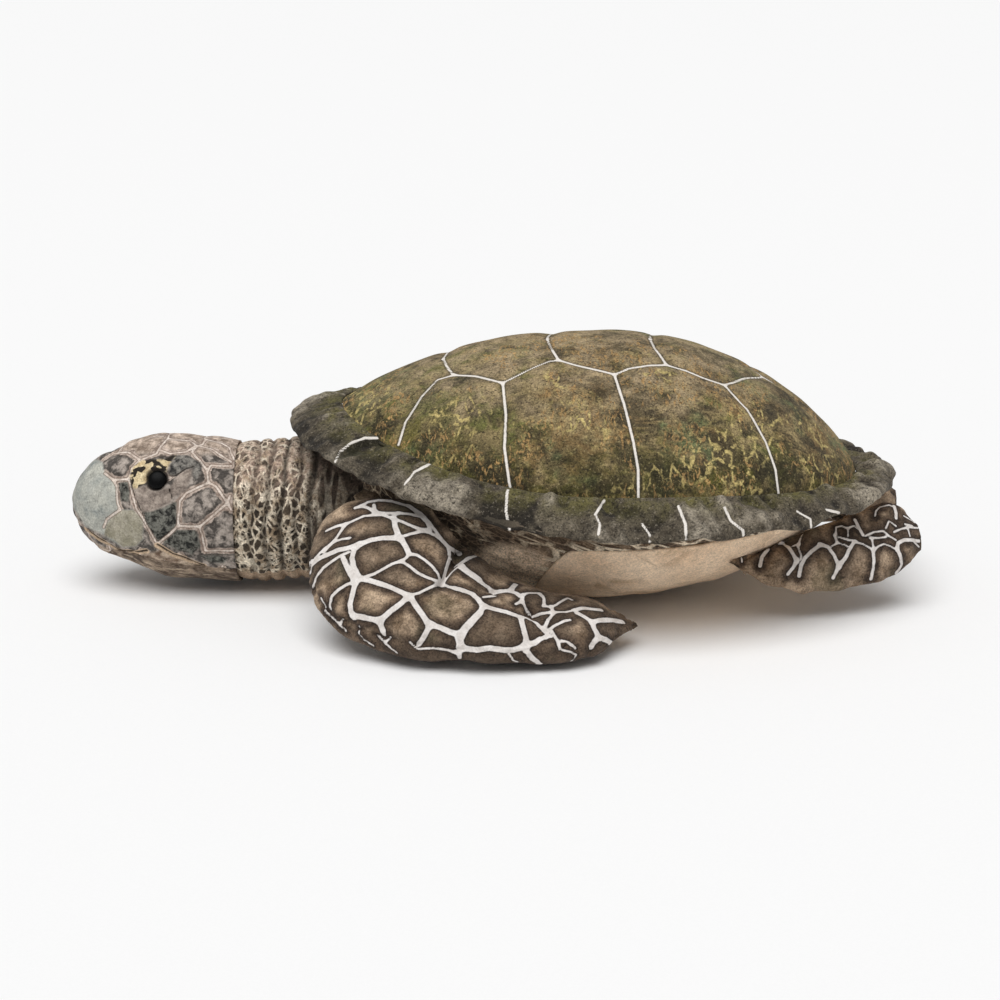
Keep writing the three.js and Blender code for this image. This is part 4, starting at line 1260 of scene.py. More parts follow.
def shell_paint(tree):
    place = object_place(tree)
    slope = object_place(tree, (1.0, 0.45, 0.45), (0.0, 0.5, 0.0))
    level = object_place(tree, (0.6, 1.0, 1.4), (0.0, -0.3, 0.0))
    colour = colour_between(tree, mottle(tree, 17.0, 7.0), (0.200, 0.130, 0.054), (0.140, 0.138, 0.040))
    colour = colour_between(tree, mottle(tree, 55.0, 7.0, 0.7), colour, (0.310, 0.235, 0.112))
    umber = times(tree, mottle(tree, 30.0, 8.0, 4.1), mottle(tree, 110.0, 6.0, 1.1))
    colour = tinted(tree, colour, umber, 0.9, (0.046, 0.034, 0.016))
    dark = spread_value(tree, clouds(tree, level, 25.0, 6.0, 0.66, 0.5), 0.51, 0.57)
    colour = tinted(tree, colour, dark, 0.78, (0.034, 0.027, 0.015))
    teal = spread_value(tree, clouds(tree, object_place(tree, shift=(3.1, 0.4, 0.0)), 17.0, 4.0), 0.54, 0.62)
    teal = times(tree, teal, mottle(tree, 90.0, 5.0, 2.3))
    colour = tinted(tree, colour, teal, 0.75, (0.125, 0.165, 0.070))
    low = spread_value(tree, value_of(tree, "low"), 0.0, 1.0)
    green = times(tree, low, mottle(tree, 75.0, 5.0, 1.9))
    colour = tinted(tree, colour, green, 0.7, (0.115, 0.105, 0.018))
    night = times(tree, low, mottle(tree, 40.0, 7.0, 3.3))
    colour = tinted(tree, colour, night, 0.85, (0.026, 0.021, 0.009))
    # Painted light: the top of the dome is painted paler and warmer, as if lit from above
    top = spread_value(tree, value_of(tree, "top"), 0.0, 1.0)
    painted_top_light = times(tree, top, mottle(tree, 70.0, 3.5, 5.0))
    colour = tinted(tree, colour, painted_top_light, 0.8, (0.43, 0.325, 0.195))
    rust = spread_value(tree, clouds(tree, object_place(tree, shift=(0.0, 5.2, 0.0)), 24.0, 3.0), 0.49, 0.57)
    flecks = spread_value(tree, clouds(tree, slope, 250.0, 3.0, 0.62, 1.6), 0.53, 0.61)
    fleck = times(tree, times(tree, rust, flecks), 0.85)
    colour = colour_between(tree, fleck, colour, (0.41, 0.250, 0.098))
    threads = spread_value(tree, crackle(tree, slope, 150.0), 0.04, 0.13, 1.0, 0.0)
    where = spread_value(tree, clouds(tree, object_place(tree, shift=(7.0, 0.0, 2.0)), 21.0, 3.0), 0.50, 0.62)
    broken = spread_value(tree, clouds(tree, place, 200.0, 2.0), 0.45, 0.56)
    thread = times(tree, times(tree, threads, where), broken)
    colour = tinted(tree, colour, thread, 0.9, (0.54, 0.43, 0.17))
    specks = spread_value(tree, clouds(tree, place, 560.0, 2.0, 0.7), 0.58, 0.68)
    colour = tinted(tree, colour, specks, 0.4, (0.40, 0.33, 0.17))
    pits = spread_value(tree, clouds(tree, place, 480.0, 2.0, 0.7), 0.42, 0.34)
    colour = tinted(tree, colour, pits, 0.7, (0.016, 0.013, 0.008))
    weave = spread_value(tree, clouds(tree, place, 1100.0, 1.0, 0.5), 0.35, 0.65, 0.22, 0.0)
    colour = colour_between(tree, weave, colour, (0.020, 0.016, 0.009))
    beside = printed(tree, value_of(tree, "net"), 2.0, 0.8, 0.6)
    colour = tinted(tree, colour, beside, 0.55, (0.034, 0.028, 0.016))
    line = printed(tree, value_of(tree, "net"), SHELL_LINE, 0.25, 0.3)
    return colour_between(tree, line, colour, WHITE_LINE)


def rim_paint(tree):
    place = object_place(tree)
    colour = colour_between(tree, mottle(tree, 32.0, 6.0), (0.048, 0.038, 0.026), (0.130, 0.108, 0.076))
    colour = colour_between(tree, mottle(tree, 130.0, 5.0, 0.4), colour, (0.090, 0.074, 0.053))
    # Painted highlight: the ridges of the ruffles are painted pale, as if lit from above
    pale = spread_value(tree, value_of(tree, "swell"), 0.25, 1.2)
    rough = sum_of(tree, "ADD", times(tree, mottle(tree, 150.0, 5.0, 2.2), 0.5), 0.4)
    colour = colour_between(tree, times(tree, pale, rough), colour, (0.35, 0.305, 0.238))
    # Painted shade: the hollows between the ruffles are painted nearly black
    deep = spread_value(tree, value_of(tree, "swell"), -0.05, -0.6)
    colour = tinted(tree, colour, deep, 0.92, (0.014, 0.011, 0.008))
    near = spread_value(tree, value_of(tree, "share"), 0.15, 0.85, 1.0, 0.0)
    olive = times(tree, near, mottle(tree, 48.0, 5.0, 1.2))
    colour = tinted(tree, colour, olive, 0.92, (0.118, 0.104, 0.036))
    specks = spread_value(tree, clouds(tree, place, 520.0, 2.0, 0.7), 0.57, 0.68)
    colour = tinted(tree, colour, specks, 0.4, (0.30, 0.26, 0.20))
    pits = spread_value(tree, clouds(tree, place, 470.0, 2.0, 0.7), 0.44, 0.36)
    colour = tinted(tree, colour, pits, 0.7, (0.014, 0.011, 0.008))
    # Painted shade: the pocket behind the fold is painted dark
    pocket = times(tree, value_of(tree, "pocket"), 0.75)
    colour = colour_between(tree, pocket, colour, (0.030, 0.028, 0.014))
    line = printed(tree, value_of(tree, "net"), RIM_LINE, 0.28, 0.3)
    return colour_between(tree, line, colour, WHITE_LINE)


def belly_paint(tree):
    colour = colour_between(tree, mottle(tree, 22.0, 2.4), (0.68, 0.485, 0.32), (0.88, 0.705, 0.52))
    stain = spread_value(tree, clouds(tree, object_place(tree), 34.0, 4.0, 0.6, 0.6), 0.58, 0.70)
    colour = tinted(tree, colour, stain, 0.5, (0.42, 0.27, 0.14))
    creases = crackle(tree, object_place(tree, (0.5, 1.0, 1.6)), 55.0)
    creases = spread_value(tree, creases, 0.0, 0.05, 1.0, 0.0)
    where = spread_value(tree, clouds(tree, object_place(tree, shift=(2.0, 0, 0)), 30.0, 2.0), 0.52, 0.64)
    crease = times(tree, times(tree, creases, where), 0.4)
    colour = colour_between(tree, crease, colour, (0.40, 0.25, 0.14))
    return colour_between(tree, value_of(tree, "front"), colour, (0.055, 0.045, 0.032))


def strands(tree, vector, scale, width=0.09):
    """Long uneven strands along the first way of the vector."""
    bent = stretched(tree, vector, (0.22, 1.0, 1.0))
    return spread_value(tree, crackle(tree, bent, scale), width * 0.35, width, 1.0, 0.0)


def side_paint(tree):
    flow = vector_of(tree, "flow")
    colour = colour_between(tree, mottle(tree, 50.0, 3.0), (0.030, 0.019, 0.012), (0.105, 0.072, 0.046))
    strand = strands(tree, flow, 170.0, 0.13)
    where = spread_value(tree, clouds(tree, stretched(tree, flow, (0.4, 1.0, 1.0)), 90.0, 3.0), 0.42, 0.60)
    colour = colour_between(tree, times(tree, strand, where), colour, (0.56, 0.46, 0.33))
    fine = strands(tree, stretched(tree, flow, (1.0, 1.0, 1.0), (1.0, 2.0, 0.0)), 330.0, 0.10)
    colour = tinted(tree, colour, fine, 0.5, (0.28, 0.20, 0.13))
    tan = colour_between(tree, mottle(tree, 60.0, 4.0, 0.9), (0.36, 0.26, 0.175), (0.76, 0.60, 0.44))
    colour = colour_between(tree, value_of(tree, "tan"), colour, tan)
    seam = spread_value(tree, value_of(tree, "seam"), 2.0, 9.0, 0.85, 0.0)
    return colour_between(tree, times(tree, seam, strand), colour, (0.66, 0.56, 0.42))


def neck_paint(tree):
    place = object_place(tree, (1.25, 0.8, 0.8))
    rim_shadowed_rear = value_of(tree, "rim_shadowed_rear")
    dark = colour_between(tree, mottle(tree, 90.0, 3.0), (0.016, 0.012, 0.009), (0.085, 0.062, 0.042))
    shove = [times(tree, clouds(tree, place, scale, 2.0), 0.006) for scale in (120.0, 95.0)]
    shift = add_node(tree, "ShaderNodeCombineXYZ", {0: shove[0], 1: 0.0, 2: shove[1]}).outputs[0]
    bent = add_node(tree, "ShaderNodeVectorMath", {0: place, 1: shift}, operation="ADD").outputs[0]
    net = spread_value(tree, crackle(tree, bent, 165.0), 0.08, 0.17, 1.0, 0.0)
    fine = crackle(tree, object_place(tree, shift=(1.0, 0.0, 0.0)), 330.0)
    fine = spread_value(tree, fine, 0.06, 0.15, 1.0, 0.0)
    patchy = spread_value(tree, clouds(tree, place, 70.0, 3.0), 0.47, 0.60)
    net = sum_of(tree, "MAXIMUM", net, times(tree, fine, times(tree, patchy, 0.8)))
    cream = colour_between(tree, mottle(tree, 130.0, 5.0, 0.5), (0.30, 0.225, 0.150), (0.76, 0.67, 0.53))
    streak = strands(tree, vector_of(tree, "flow"), 210.0, 0.22)
    streak = times(tree, streak, spread_value(tree, clouds(tree, place, 70.0, 3.0), 0.40, 0.55))
    mask = add_node(tree, "ShaderNodeMix", {0: rim_shadowed_rear, 2: net, 3: streak}).outputs[0]
    colour = colour_between(tree, mask, dark, cream)
    upper = spread_value(tree, value_of(tree, "upper"), 0.62, 0.95)
    rosy = times(tree, upper, mottle(tree, 140.0, 4.0, 2.0))
    colour = tinted(tree, colour, rosy, 0.7, (0.50, 0.36, 0.28))
    # Painted shadow: the neck's rear, under the rim, is painted darker
    colour = tinted(tree, colour, rim_shadowed_rear, 0.55, (0.03, 0.022, 0.016))
    # Painted shade: the folds round the neck are painted dark by their depth
    return tinted(tree, colour, value_of(tree, "fold"), 0.85, (0.022, 0.016, 0.011))


def throat_paint(tree):
    colour = colour_between(tree, mottle(tree, 40.0, 2.5), (0.26, 0.175, 0.115), (0.46, 0.345, 0.24))
    vein = spread_value(tree, crackle(tree, object_place(tree, (0.5, 1.0, 1.0)), 190.0), 0.02, 0.10, 1.0, 0.0)
    return tinted(tree, colour, vein, 0.35, (0.24, 0.15, 0.09))


def head_paint(tree):
    net = value_of(tree, "net")
    place = object_place(tree)
    # The scutes: pale and rosy along their lines, with an inked edge, grey and mottled inside
    margin = colour_between(tree, mottle(tree, 190.0, 5.0), (0.27, 0.205, 0.165), (0.56, 0.46, 0.39))
    centre = colour_between(tree, mottle(tree, 150.0, 6.5, 0.3), (0.075, 0.065, 0.057), (0.40, 0.345, 0.30))
    wander = sum_of(tree, "MULTIPLY_ADD", clouds(tree, place, 210.0, 4.0, 0.65), 5.0, net)
    depth = spread_value(tree, wander, 4.7, 5.5)
    colour = colour_between(tree, depth, margin, centre)
    ink = times(tree, depth, spread_value(tree, wander, 5.6, 8.2, 1.0, 0.0))
    ink = times(tree, ink, spread_value(tree, clouds(tree, place, 75.0, 2.0), 0.40, 0.56))
    colour = tinted(tree, colour, ink, 0.85, (0.045, 0.037, 0.031))
    # The crown's scutes are painted rusty and pale: partly their own colour, partly painted light on the top
    # of the head
    crown_and_top_light = value_of(tree, "crown")
    rusty = colour_between(tree, mottle(tree, 150.0, 4.5, 0.9), (0.22, 0.165, 0.125), (0.66, 0.53, 0.43))
    colour = colour_between(tree, times(tree, crown_and_top_light, depth), colour, rusty)
    chin = value_of(tree, "chin")
    tan = colour_between(tree, mottle(tree, 110.0, 5.0, 0.2), (0.14, 0.09, 0.06), (0.52, 0.41, 0.31))
    colour = colour_between(tree, chin, colour, tan)
    dusk = value_of(tree, "dusk")
    night = colour_between(tree, mottle(tree, 230.0, 6.0, 1.4), (0.016, 0.016, 0.014), (0.185, 0.182, 0.156))
    colour = colour_between(tree, dusk, colour, night)
    # The beak: a pale, smooth plate with grey-blue clouds
    beak = colour_between(tree, mottle(tree, 55.0, 5.0, 0.6), (0.225, 0.245, 0.235), (0.52, 0.515, 0.45))
    beak = colour_between(tree, mottle(tree, 170.0, 3.4, 2.6), beak, (0.385, 0.385, 0.345))
    plate = colour_between(tree, mottle(tree, 120.0, 4.0, 0.2), (0.285, 0.262, 0.190), (0.42, 0.385, 0.305))
    beak = colour_between(tree, value_of(tree, "plate"), beak, plate)
    colour = colour_between(tree, value_of(tree, "beak"), colour, beak)
    brown = printed(tree, net, 1.35, 0.3, 0.4)
    colour = tinted(tree, colour, brown, 0.65, (0.150, 0.098, 0.072))
    line = colour_between(tree, mottle(tree, 200.0, 3.0, 0.5), (0.50, 0.40, 0.33), (0.80, 0.71, 0.63))
    colour = colour_between(tree, printed(tree, net, 0.72, 0.25, 0.4), colour, line)
    # Round the eye
    patch = colour_between(tree, mottle(tree, 150.0, 4.0, 1.1), (0.190, 0.152, 0.128), (0.42, 0.35, 0.295))
    colour = colour_between(tree, value_of(tree, "patch"), colour, patch)
    blot = spread_value(tree, clouds(tree, place, 125.0, 1.5, 0.5, 0.6), 0.50, 0.53)
    yellow = colour_between(tree, mottle(tree, 160.0, 3.0, 0.4), (0.50, 0.37, 0.20), (0.78, 0.66, 0.42))
    yellow = colour_between(tree, blot, yellow, (0.022, 0.017, 0.012))
    colour = colour_between(tree, value_of(tree, "yellow"), colour, yellow)
    lid = colour_between(tree, mottle(tree, 210.0, 5.0, 1.7), (0.026, 0.025, 0.024), (0.250, 0.232, 0.205))
    colour = colour_between(tree, value_of(tree, "lid"), colour, lid)
    # Creases and the rim of the eye are painted nearly black, as painted shade in their grooves. The mouth
    # is nearly black with a pale edge: partly its own dark line, partly painted shade in its groove
    pale = printed(tree, value_of(tree, "smile"), 2.3, 0.6, 0.8)
    colour = tinted(tree, colour, pale, 0.85, (0.62, 0.46, 0.31))
    dark = printed(tree, value_of(tree, "smile"), 0.8, 0.4, 0.9)
    dark = sum_of(tree, "MAXIMUM", dark, printed(tree, value_of(tree, "crease"), 0.6, 0.35, 0.5))
    dark = sum_of(tree, "MAXIMUM", dark, printed(tree, value_of(tree, "socket"), 1.2, 0.8, 0.4))
    return tinted(tree, colour, dark, 0.92, (0.018, 0.013, 0.010))


def jaw_paint(tree):
    flow = object_place(tree, (0.3, 1.0, 1.0))
    colour = colour_between(tree, mottle(tree, 90.0, 4.5), (0.075, 0.050, 0.034), (0.36, 0.275, 0.20))
    streak = spread_value(tree, clouds(tree, flow, 210.0, 3.0, 0.6), 0.52, 0.60)
    colour = tinted(tree, colour, streak, 0.7, (0.060, 0.040, 0.028))
    pale = clouds(tree, object_place(tree, (0.3, 1.0, 1.0), shift=(3, 0, 0)), 230.0, 3.0)
    pale = spread_value(tree, pale, 0.56, 0.64)
    return tinted(tree, colour, pale, 0.6, (0.62, 0.50, 0.37))


def flipper_paint(tree, half_width):
    net = value_of(tree, "net")
    place = object_place(tree)
    wander = sum_of(tree, "MULTIPLY_ADD", clouds(tree, place, 130.0, 4.0, 0.65), 5.0, net)
    inner = spread_value(tree, wander, half_width + 4.0, half_width + 9.5)
    brown = colour_between(tree, mottle(tree, 120.0, 4.0), (0.040, 0.026, 0.018), (0.118, 0.078, 0.052))
    tan = colour_between(tree, mottle(tree, 70.0, 4.0, 0.8), (0.185, 0.125, 0.076), (0.52, 0.385, 0.265))
    # Painted shade: the cells keep their tan centres only on the higher parts, and stay brown lower down
    # where the pillow faces the floor
    height = add_node(tree, "ShaderNodeSeparateXYZ", {0: place}).outputs[2]
    high = spread_value(tree, height, 0.004, 0.040, 0.12, 1.0)
    colour = colour_between(tree, times(tree, inner, high), brown, tan)
    shade = spread_value(tree, clouds(tree, object_place(tree, shift=(1.7, 0.0, 0.0)), 21.0, 2.0), 0.44, 0.58)
    colour = tinted(tree, colour, shade, 0.6, (0.072, 0.050, 0.034))
    specks = spread_value(tree, clouds(tree, place, 620.0, 2.0, 0.7), 0.54, 0.64)
    edge = spread_value(tree, wander, half_width + 2.5, half_width + 7.5, 0.85, 0.25)
    colour = colour_between(tree, times(tree, specks, edge), colour, (0.016, 0.011, 0.008))
    moss = spread_value(tree, clouds(tree, object_place(tree, shift=(0.0, 4.0, 0.0)), 24.0, 2.0), 0.55, 0.68)
    colour = tinted(tree, colour, moss, 0.35, (0.130, 0.118, 0.068))
    beside = printed(tree, net, half_width + 0.9, 0.7, 0.5)
    colour = tinted(tree, colour, beside, 0.75, (0.018, 0.012, 0.009))
    white = colour_between(tree, mottle(tree, 150.0, 2.4, 0.6), (0.60, 0.545, 0.50), (0.86, 0.82, 0.79))
    line = printed(tree, net, half_width, 0.28, 0.55)
    colour = colour_between(tree, line, colour, white)
    # Painted shade: a dark line along the edge seam, in its groove
    seam = printed(tree, value_of(tree, "seam"), 0.85, 0.5, 0.5)
    return tinted(tree, colour, seam, 0.85, (0.016, 0.012, 0.009))


def plain_material(name, colour, roughness, shine=0.25):
    """Moulded plastic with a faint grain."""
    material = bpy.data.materials.new(name)
    material.use_nodes = True
    tree = material.node_tree
    shader = tree.nodes["Principled BSDF"]
    grain = clouds(tree, object_place(tree), 900.0, 3.0)
    paler = tuple(min(1.0, channel * 1.04 + 0.004) for channel in colour)
    tree.links.new(colour_between(tree, grain, colour, paler), shader.inputs["Base Color"])
    tree.links.new(
        spread_value(tree, grain, 0.3, 0.7, roughness, min(1.0, roughness + 0.12)), shader.inputs["Roughness"]
    )
    shader.inputs["Specular IOR Level"].default_value = shine
    return material


# Sculpting

def moved_along(mesh, amounts):
    """Moves each point along its normal by an amount in millimetres. Nothing sinks below the ground."""
    places = places_mm(mesh) + normals_of(mesh) * np.asarray(amounts, float)[:, None]
    places[:, 2] = np.maximum(places[:, 2], 0.0)
    set_places(mesh, places)


def swollen(mesh):
    """Lets a coarse copy of a pillow swell as cloth under air, and moves the pillow's points as it moved."""
    scene = bpy.context.scene
    copy = bpy.data.objects.new("swelling_copy", mesh.copy())
    moved_along(copy.data, np.full(len(mesh.vertices), -SWELL_ROOM))
    scene.collection.objects.link(copy)
    bpy.context.view_layer.objects.active = copy
    faces = copy.modifiers.new("Even faces", "REMESH")
    faces.mode, faces.voxel_size = "VOXEL", CLOTH_FACE * MM
    bpy.ops.object.modifier_apply(modifier=faces.name)
    before = places_mm(copy.data)
    air = copy.modifiers.new("Air", "CLOTH")
    air.settings.use_pressure = True
    air.settings.uniform_pressure_force = CLOTH_PRESSURE
    air.settings.effector_weights.gravity = 0.0
    air.point_cache.frame_start, air.point_cache.frame_end = 1, CLOTH_FRAMES
    for step in range(1, CLOTH_FRAMES + 1):
        scene.frame_set(step)
    done = copy.evaluated_get(bpy.context.evaluated_depsgraph_get())
    moves = places_mm(done.data) - before
    scene.frame_set(1)
    bpy.data.objects.remove(copy)
    moves -= moves.mean(axis=0)
    moves *= np.minimum(1.0, SWELL_LIMIT / np.maximum(np.linalg.norm(moves, axis=1), 1e-6))[:, None]
    tree = KDTree(len(before))
    for i, place in enumerate(before):
        tree.insert(place, i)
    tree.balance()
    places = places_mm(mesh)
    for i, place in enumerate(places):
        near = tree.find_n(place, SWELL_PULLERS)
        shares = np.array([1.0 / (distance + 0.5) ** 2 for _place, _own, distance in near])
        places[i] += shares @ moves[[own for _place, own, _distance in near]] / shares.sum()
    places[:, 2] = np.maximum(places[:, 2], 0.0)
    set_places(mesh, places)
    moved_along(mesh, np.full(len(places), -SWELL_ROOM))


def on_left(places):
    """The same places, all on the side that the reference picture shows."""
    return np.stack([places[:, 0], -np.abs(places[:, 1]), places[:, 2]], axis=-1)


def facing_share(places, normals):
    """1 where the cloth, taken to the left side, looks at the reference camera, and 0 where it looks away."""
    side = np.where(places[:, 1] > 0, -1.0, 1.0)
    looks = np.stack([normals[:, 0], normals[:, 1] * side, normals[:, 2]], axis=-1)
    sight = unit(np.array(CAMERA_PLACE) - on_left(places))
    return smooth(-0.15, 0.2, np.sum(looks * sight, axis=1))


# The pieces

class PLUSH_OT_camera(bpy.types.Operator):
    """Places the camera of the reference view."""

    bl_idname = "plush.camera"
    bl_label = "Reference Camera"

    def execute(self, context):
        camera = bpy.data.objects.new("reference_camera", bpy.data.cameras.new("reference_camera"))
        camera.data.lens = SENSOR_WIDTH * CAMERA_REACH / PICTURE_WIDTH
        camera.data.sensor_width = SENSOR_WIDTH
        camera.data.clip_end = CAMERA_SIGHT_END
        camera.location = Vector(CAMERA_PLACE) * MM
        camera.rotation_euler = (math.pi / 2 - CAMERA_PITCH, 0.0, 0.0)
        context.scene.collection.objects.link(camera)
        context.scene.camera = camera
        return {"FINISHED"}


class PLUSH_OT_shell(bpy.types.Operator):
    """Makes the domed, stuffed shell with its printed plates."""

    bl_idname = "plush.shell"
    bl_label = "Shell"

    def execute(self, context):
        shell = context.scene.plush_shell

        def place(across, along):
            turn, ring = disc_shares(across, along)
            return dome_place(turn, np.sin(ring * math.pi / 2))

        mesh = tidy_mesh(grid_mesh("shell_dome", shell.steps, shell.steps, place))
        runs = laid_lines(mesh, SHELL_LINES.values(), middle=True)
        places = places_mm(mesh)
        net = line_distance(places, both_sides(runs))
        add_values(mesh, "net", net)
        rise = places[:, 2] - waist(shell_turn(places))
        add_values(mesh, "low", smooth(34.0, 4.0, rise + 7.0 * ripple(places, 18, 21)))
        # How near each place is to the dome's top, where the paint adds painted light
        add_values(mesh, "top", smooth(128.0, 168.0, places[:, 2] + 8.0 * ripple(places, 20, 22)))
        puff = shell.scute_puff / MM * (1.0 - np.exp(-((net / 6.5) ** 2)))
        lumps = 0.5 * ripple(places, 38, 2) + 0.3 * ripple(places, 13, 3)
        moved_along(mesh, (puff - 0.4 + lumps) * smooth(0.0, 12.0, rise))
        tidy_mesh(mesh, fill=True)
        piece = add_piece(
            "shell_dome", mesh,
            plush_material("Olive crackle plush", shell_paint, calm=SHELL_LINE),
            "root", ("shell_dome_cover", "body_stuffing"),
        )
        return {"FINISHED"}


class PLUSH_OT_rim(bpy.types.Operator):
    """Makes the padded, ruffled rim and the cream cloth under it."""

    bl_idname = "plush.rim"
    bl_label = "Rim"

    def execute(self, context):
        mesh = tidy_mesh(grid_mesh("shell_rim", *RIM_GRID, lambda a, b: rim_section(a, b, True)))
        places = places_mm(mesh)
        turn = shell_turn(places)
        share = rim_share(places, turn)
        # The rim laid out flat, in millimetres round it and across it
        round_rim = stacked(turn * 180.0, share * 26.0, np.zeros(len(turn)))
        gathers = ripple(round_rim * np.array((1.0, 0.3, 1.0)), 7, 5) * smooth(0.85, 0.25, share)
        drapes = ripple(round_rim * np.array((1.0, 0.6, 1.0)), 14, 6) * smooth(0.15, 0.6, share)
        swell = 0.75 * gathers + 0.95 * drapes + 0.3 * ripple(places, 5, 7)
        tucked = smooth(0.0, 0.2, share)
        upper = smooth(-0.2, 0.3, normals_of(mesh)[:, 2])
        folds = laid_lines(mesh, [RIM_LINES["fold edge"]])
        fold = np.exp(-((line_distance(places, both_sides(folds)) / 3.5) ** 2))
        pocket = inside_share(picture_places(on_left(places)), RIM_POCKET, 2.5) * upper
        calmer = 1.0 - 0.55 * frontness(turn) ** 2
        ruffle = RIM_RUFFLE * swell * tucked * calmer
        moved_along(mesh, (ruffle + RIM_FOLD * fold - RIM_POCKET_DEPTH * pocket) * upper)
        # The pocket's share, which the paint also darkens as painted shade
        add_values(mesh, "pocket", pocket)
        runs = laid_lines(mesh, RIM_LINES.values())
        add_values(mesh, "net", line_distance(places_mm(mesh), both_sides(runs)))
        add_values(mesh, "share", share)
        # The ruffles' swell, from which the paint makes a painted highlight on the ridges and painted shade
        # in the hollows
        add_values(mesh, "swell", swell)
        piece = add_piece(
            "shell_rim", mesh,
            plush_material("Grey green rim plush", rim_paint, calm=RIM_LINE),
            "root", ("shell_rim_top", "shell_rim_wadding"),
        )
        mesh = tidy_mesh(
            grid_mesh("shell_rim_lining", *LINING_GRID, lambda a, b: rim_section(a, b, False))
        )
        add_values(mesh, "front", smooth(10.0, -70.0, places_mm(mesh)[:, 0]))
        lining = add_piece(
            "shell_rim_lining", mesh, cream_plush(), "root", ("shell_rim_underside",)
        )
        return {"FINISHED"}


def cream_plush():
    name = "Cream plush"
    return bpy.data.materials.get(name) or plush_material(name, belly_paint, speckle=0.6, nap=0.3)


class PLUSH_OT_body(bpy.types.Operator):
    """Makes the belly and the skin of the two sides."""

    bl_idname = "plush.body"
    bl_label = "Belly and Sides"

    def execute(self, context):
        def belly(across, along):
            turn, ring = disc_shares(across, along)
            edge = np.arcsin(belly_seam(turn) - 0.001)
            return hull_place(turn, np.sin(ring**1.3 * edge))

        def in_neck_room(place):
            room = NECK_ROOM + max(0.0, NECK_ROOT[0] - place.x) * math.tan(NECK_ROOM_OPENING)
            return place.x < NECK_ROOT[0] and math.hypot(place.y, place.z - NECK_ROOT[2]) < room

        mesh = tidy_mesh(grid_mesh("belly", *BELLY_GRID, belly), drop=in_neck_room)
        turned_outwards(mesh, (0, 0, 60))
        places = places_mm(mesh)
        moved_along(mesh, 0.7 * ripple(places, 26, 31) + 0.3 * ripple(places, 9, 32))
        piece = add_piece("belly", mesh, cream_plush(), "root", ("belly_panel",))
        add_wall(piece, CLOTH)
        material = plush_material("Wrinkled side plush", side_paint)
        for name, start in (("left", -math.pi), ("right", 0.0)):
            def side(across, along, start=start):
                turn = start + math.pi * mix(0.0008, 0.9992, across)
                edge = np.arcsin(belly_seam(turn) + 0.001) / (math.pi / 2)
                return hull_place(turn, np.sin(mix(edge, 1.0, along) * math.pi / 2))

            mesh = tidy_mesh(grid_mesh(f"side_{name}", *SIDE_GRID, side), drop=in_neck_room)
            turned_outwards(mesh, (0, 0, 60))
            places = places_mm(mesh)
            left = on_left(places)
            cos, sin = math.cos(WRINKLE_LEAN), math.sin(WRINKLE_LEAN)
            flow = stacked(
                left[:, 0] * cos - left[:, 2] * sin, left[:, 2] * cos + left[:, 0] * sin, left[:, 1]
            )
            add_vectors(mesh, "flow", flow * MM)
            rim = np.linspace(0.0, 2.0 * math.pi, 240)
            seam = hull_place(rim, belly_seam(rim))
            add_values(mesh, "seam", run_distance(places, seam))
            add_values(mesh, "tan", inside_share(picture_places(left), SHOULDER_AREA, 6.0))
            moved_along(mesh, 0.8 * ripple(flow * np.array((0.22, 1.0, 0.6)), 4.5, 33))
            piece = add_piece(f"side_{name}", mesh, material, "root", (f"side_skin_{name}",))
            add_wall(piece, CLOTH)
        return {"FINISHED"}


class PLUSH_OT_neck(bpy.types.Operator):
    """Makes the folded neck and its pale throat."""

    bl_idname = "plush.neck"
    bl_label = "Neck"

    def execute(self, context):
        split = math.acos((NECK_ROOT[2] - THROAT_TOP) / NECK_RADII[1])
        for name, start, end, columns, nodes, paint in (
            ("neck", split, 2 * math.pi - split, NECK_COLUMNS, ("neck_cover", "neck_stuffing"), neck_paint),
            ("throat", -split, split, THROAT_COLUMNS, ("throat_panel",), throat_paint),
        ):
            def skin(across, along, start=start, end=end):
                return neck_place(mix(start, end, across), along)

            mesh = tidy_mesh(grid_mesh(name, columns, NECK_ROWS, skin))
            turned_outwards(mesh, (-205, 0, 56))
            places = places_mm(mesh)
            angle = np.arctan2(places[:, 1], -(places[:, 2] - HEAD_PIVOT[2])) % (2.0 * math.pi)
            add_vectors(mesh, "flow", stacked(angle * 50.0, places[:, 0], 0.0) * MM)
            # The neck's rear, which lies in the rim's shadow: streaked there, and darkened with painted
            # shadow
            add_values(mesh, "rim_shadowed_rear", smooth(-207.0, -191.0, places[:, 0] + 3.0 * ripple(places, 12, 41)))
            add_values(mesh, "upper", (1.0 - np.cos(angle)) / 2.0)
            # The folds' depth, which the paint darkens as painted shade
            add_values(mesh, "fold", np.clip(neck_folds(places[:, 0], angle), 0.0, 1.0) ** 1.5)
            hidden = smooth(-250.0, -240.0, places[:, 0])
            moved_along(mesh, (0.5 * ripple(places, 9, 42) - 0.5) * hidden)
            material = plush_material(f"Plush of the {name}", paint)
            piece = add_piece(name, mesh, material, None, nodes)
            add_wall(piece, CLOTH)
            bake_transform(piece)
        return {"FINISHED"}


def mirrored_area(pixels, facing, *names, soft=1.3):
    """1 in the named areas of the head, on both sides, and 0 outside them."""
    share = np.zeros(len(pixels))
    for name in names:
        share = np.maximum(share, inside_share(pixels, HEAD_AREAS[name], soft))
    return share * facing


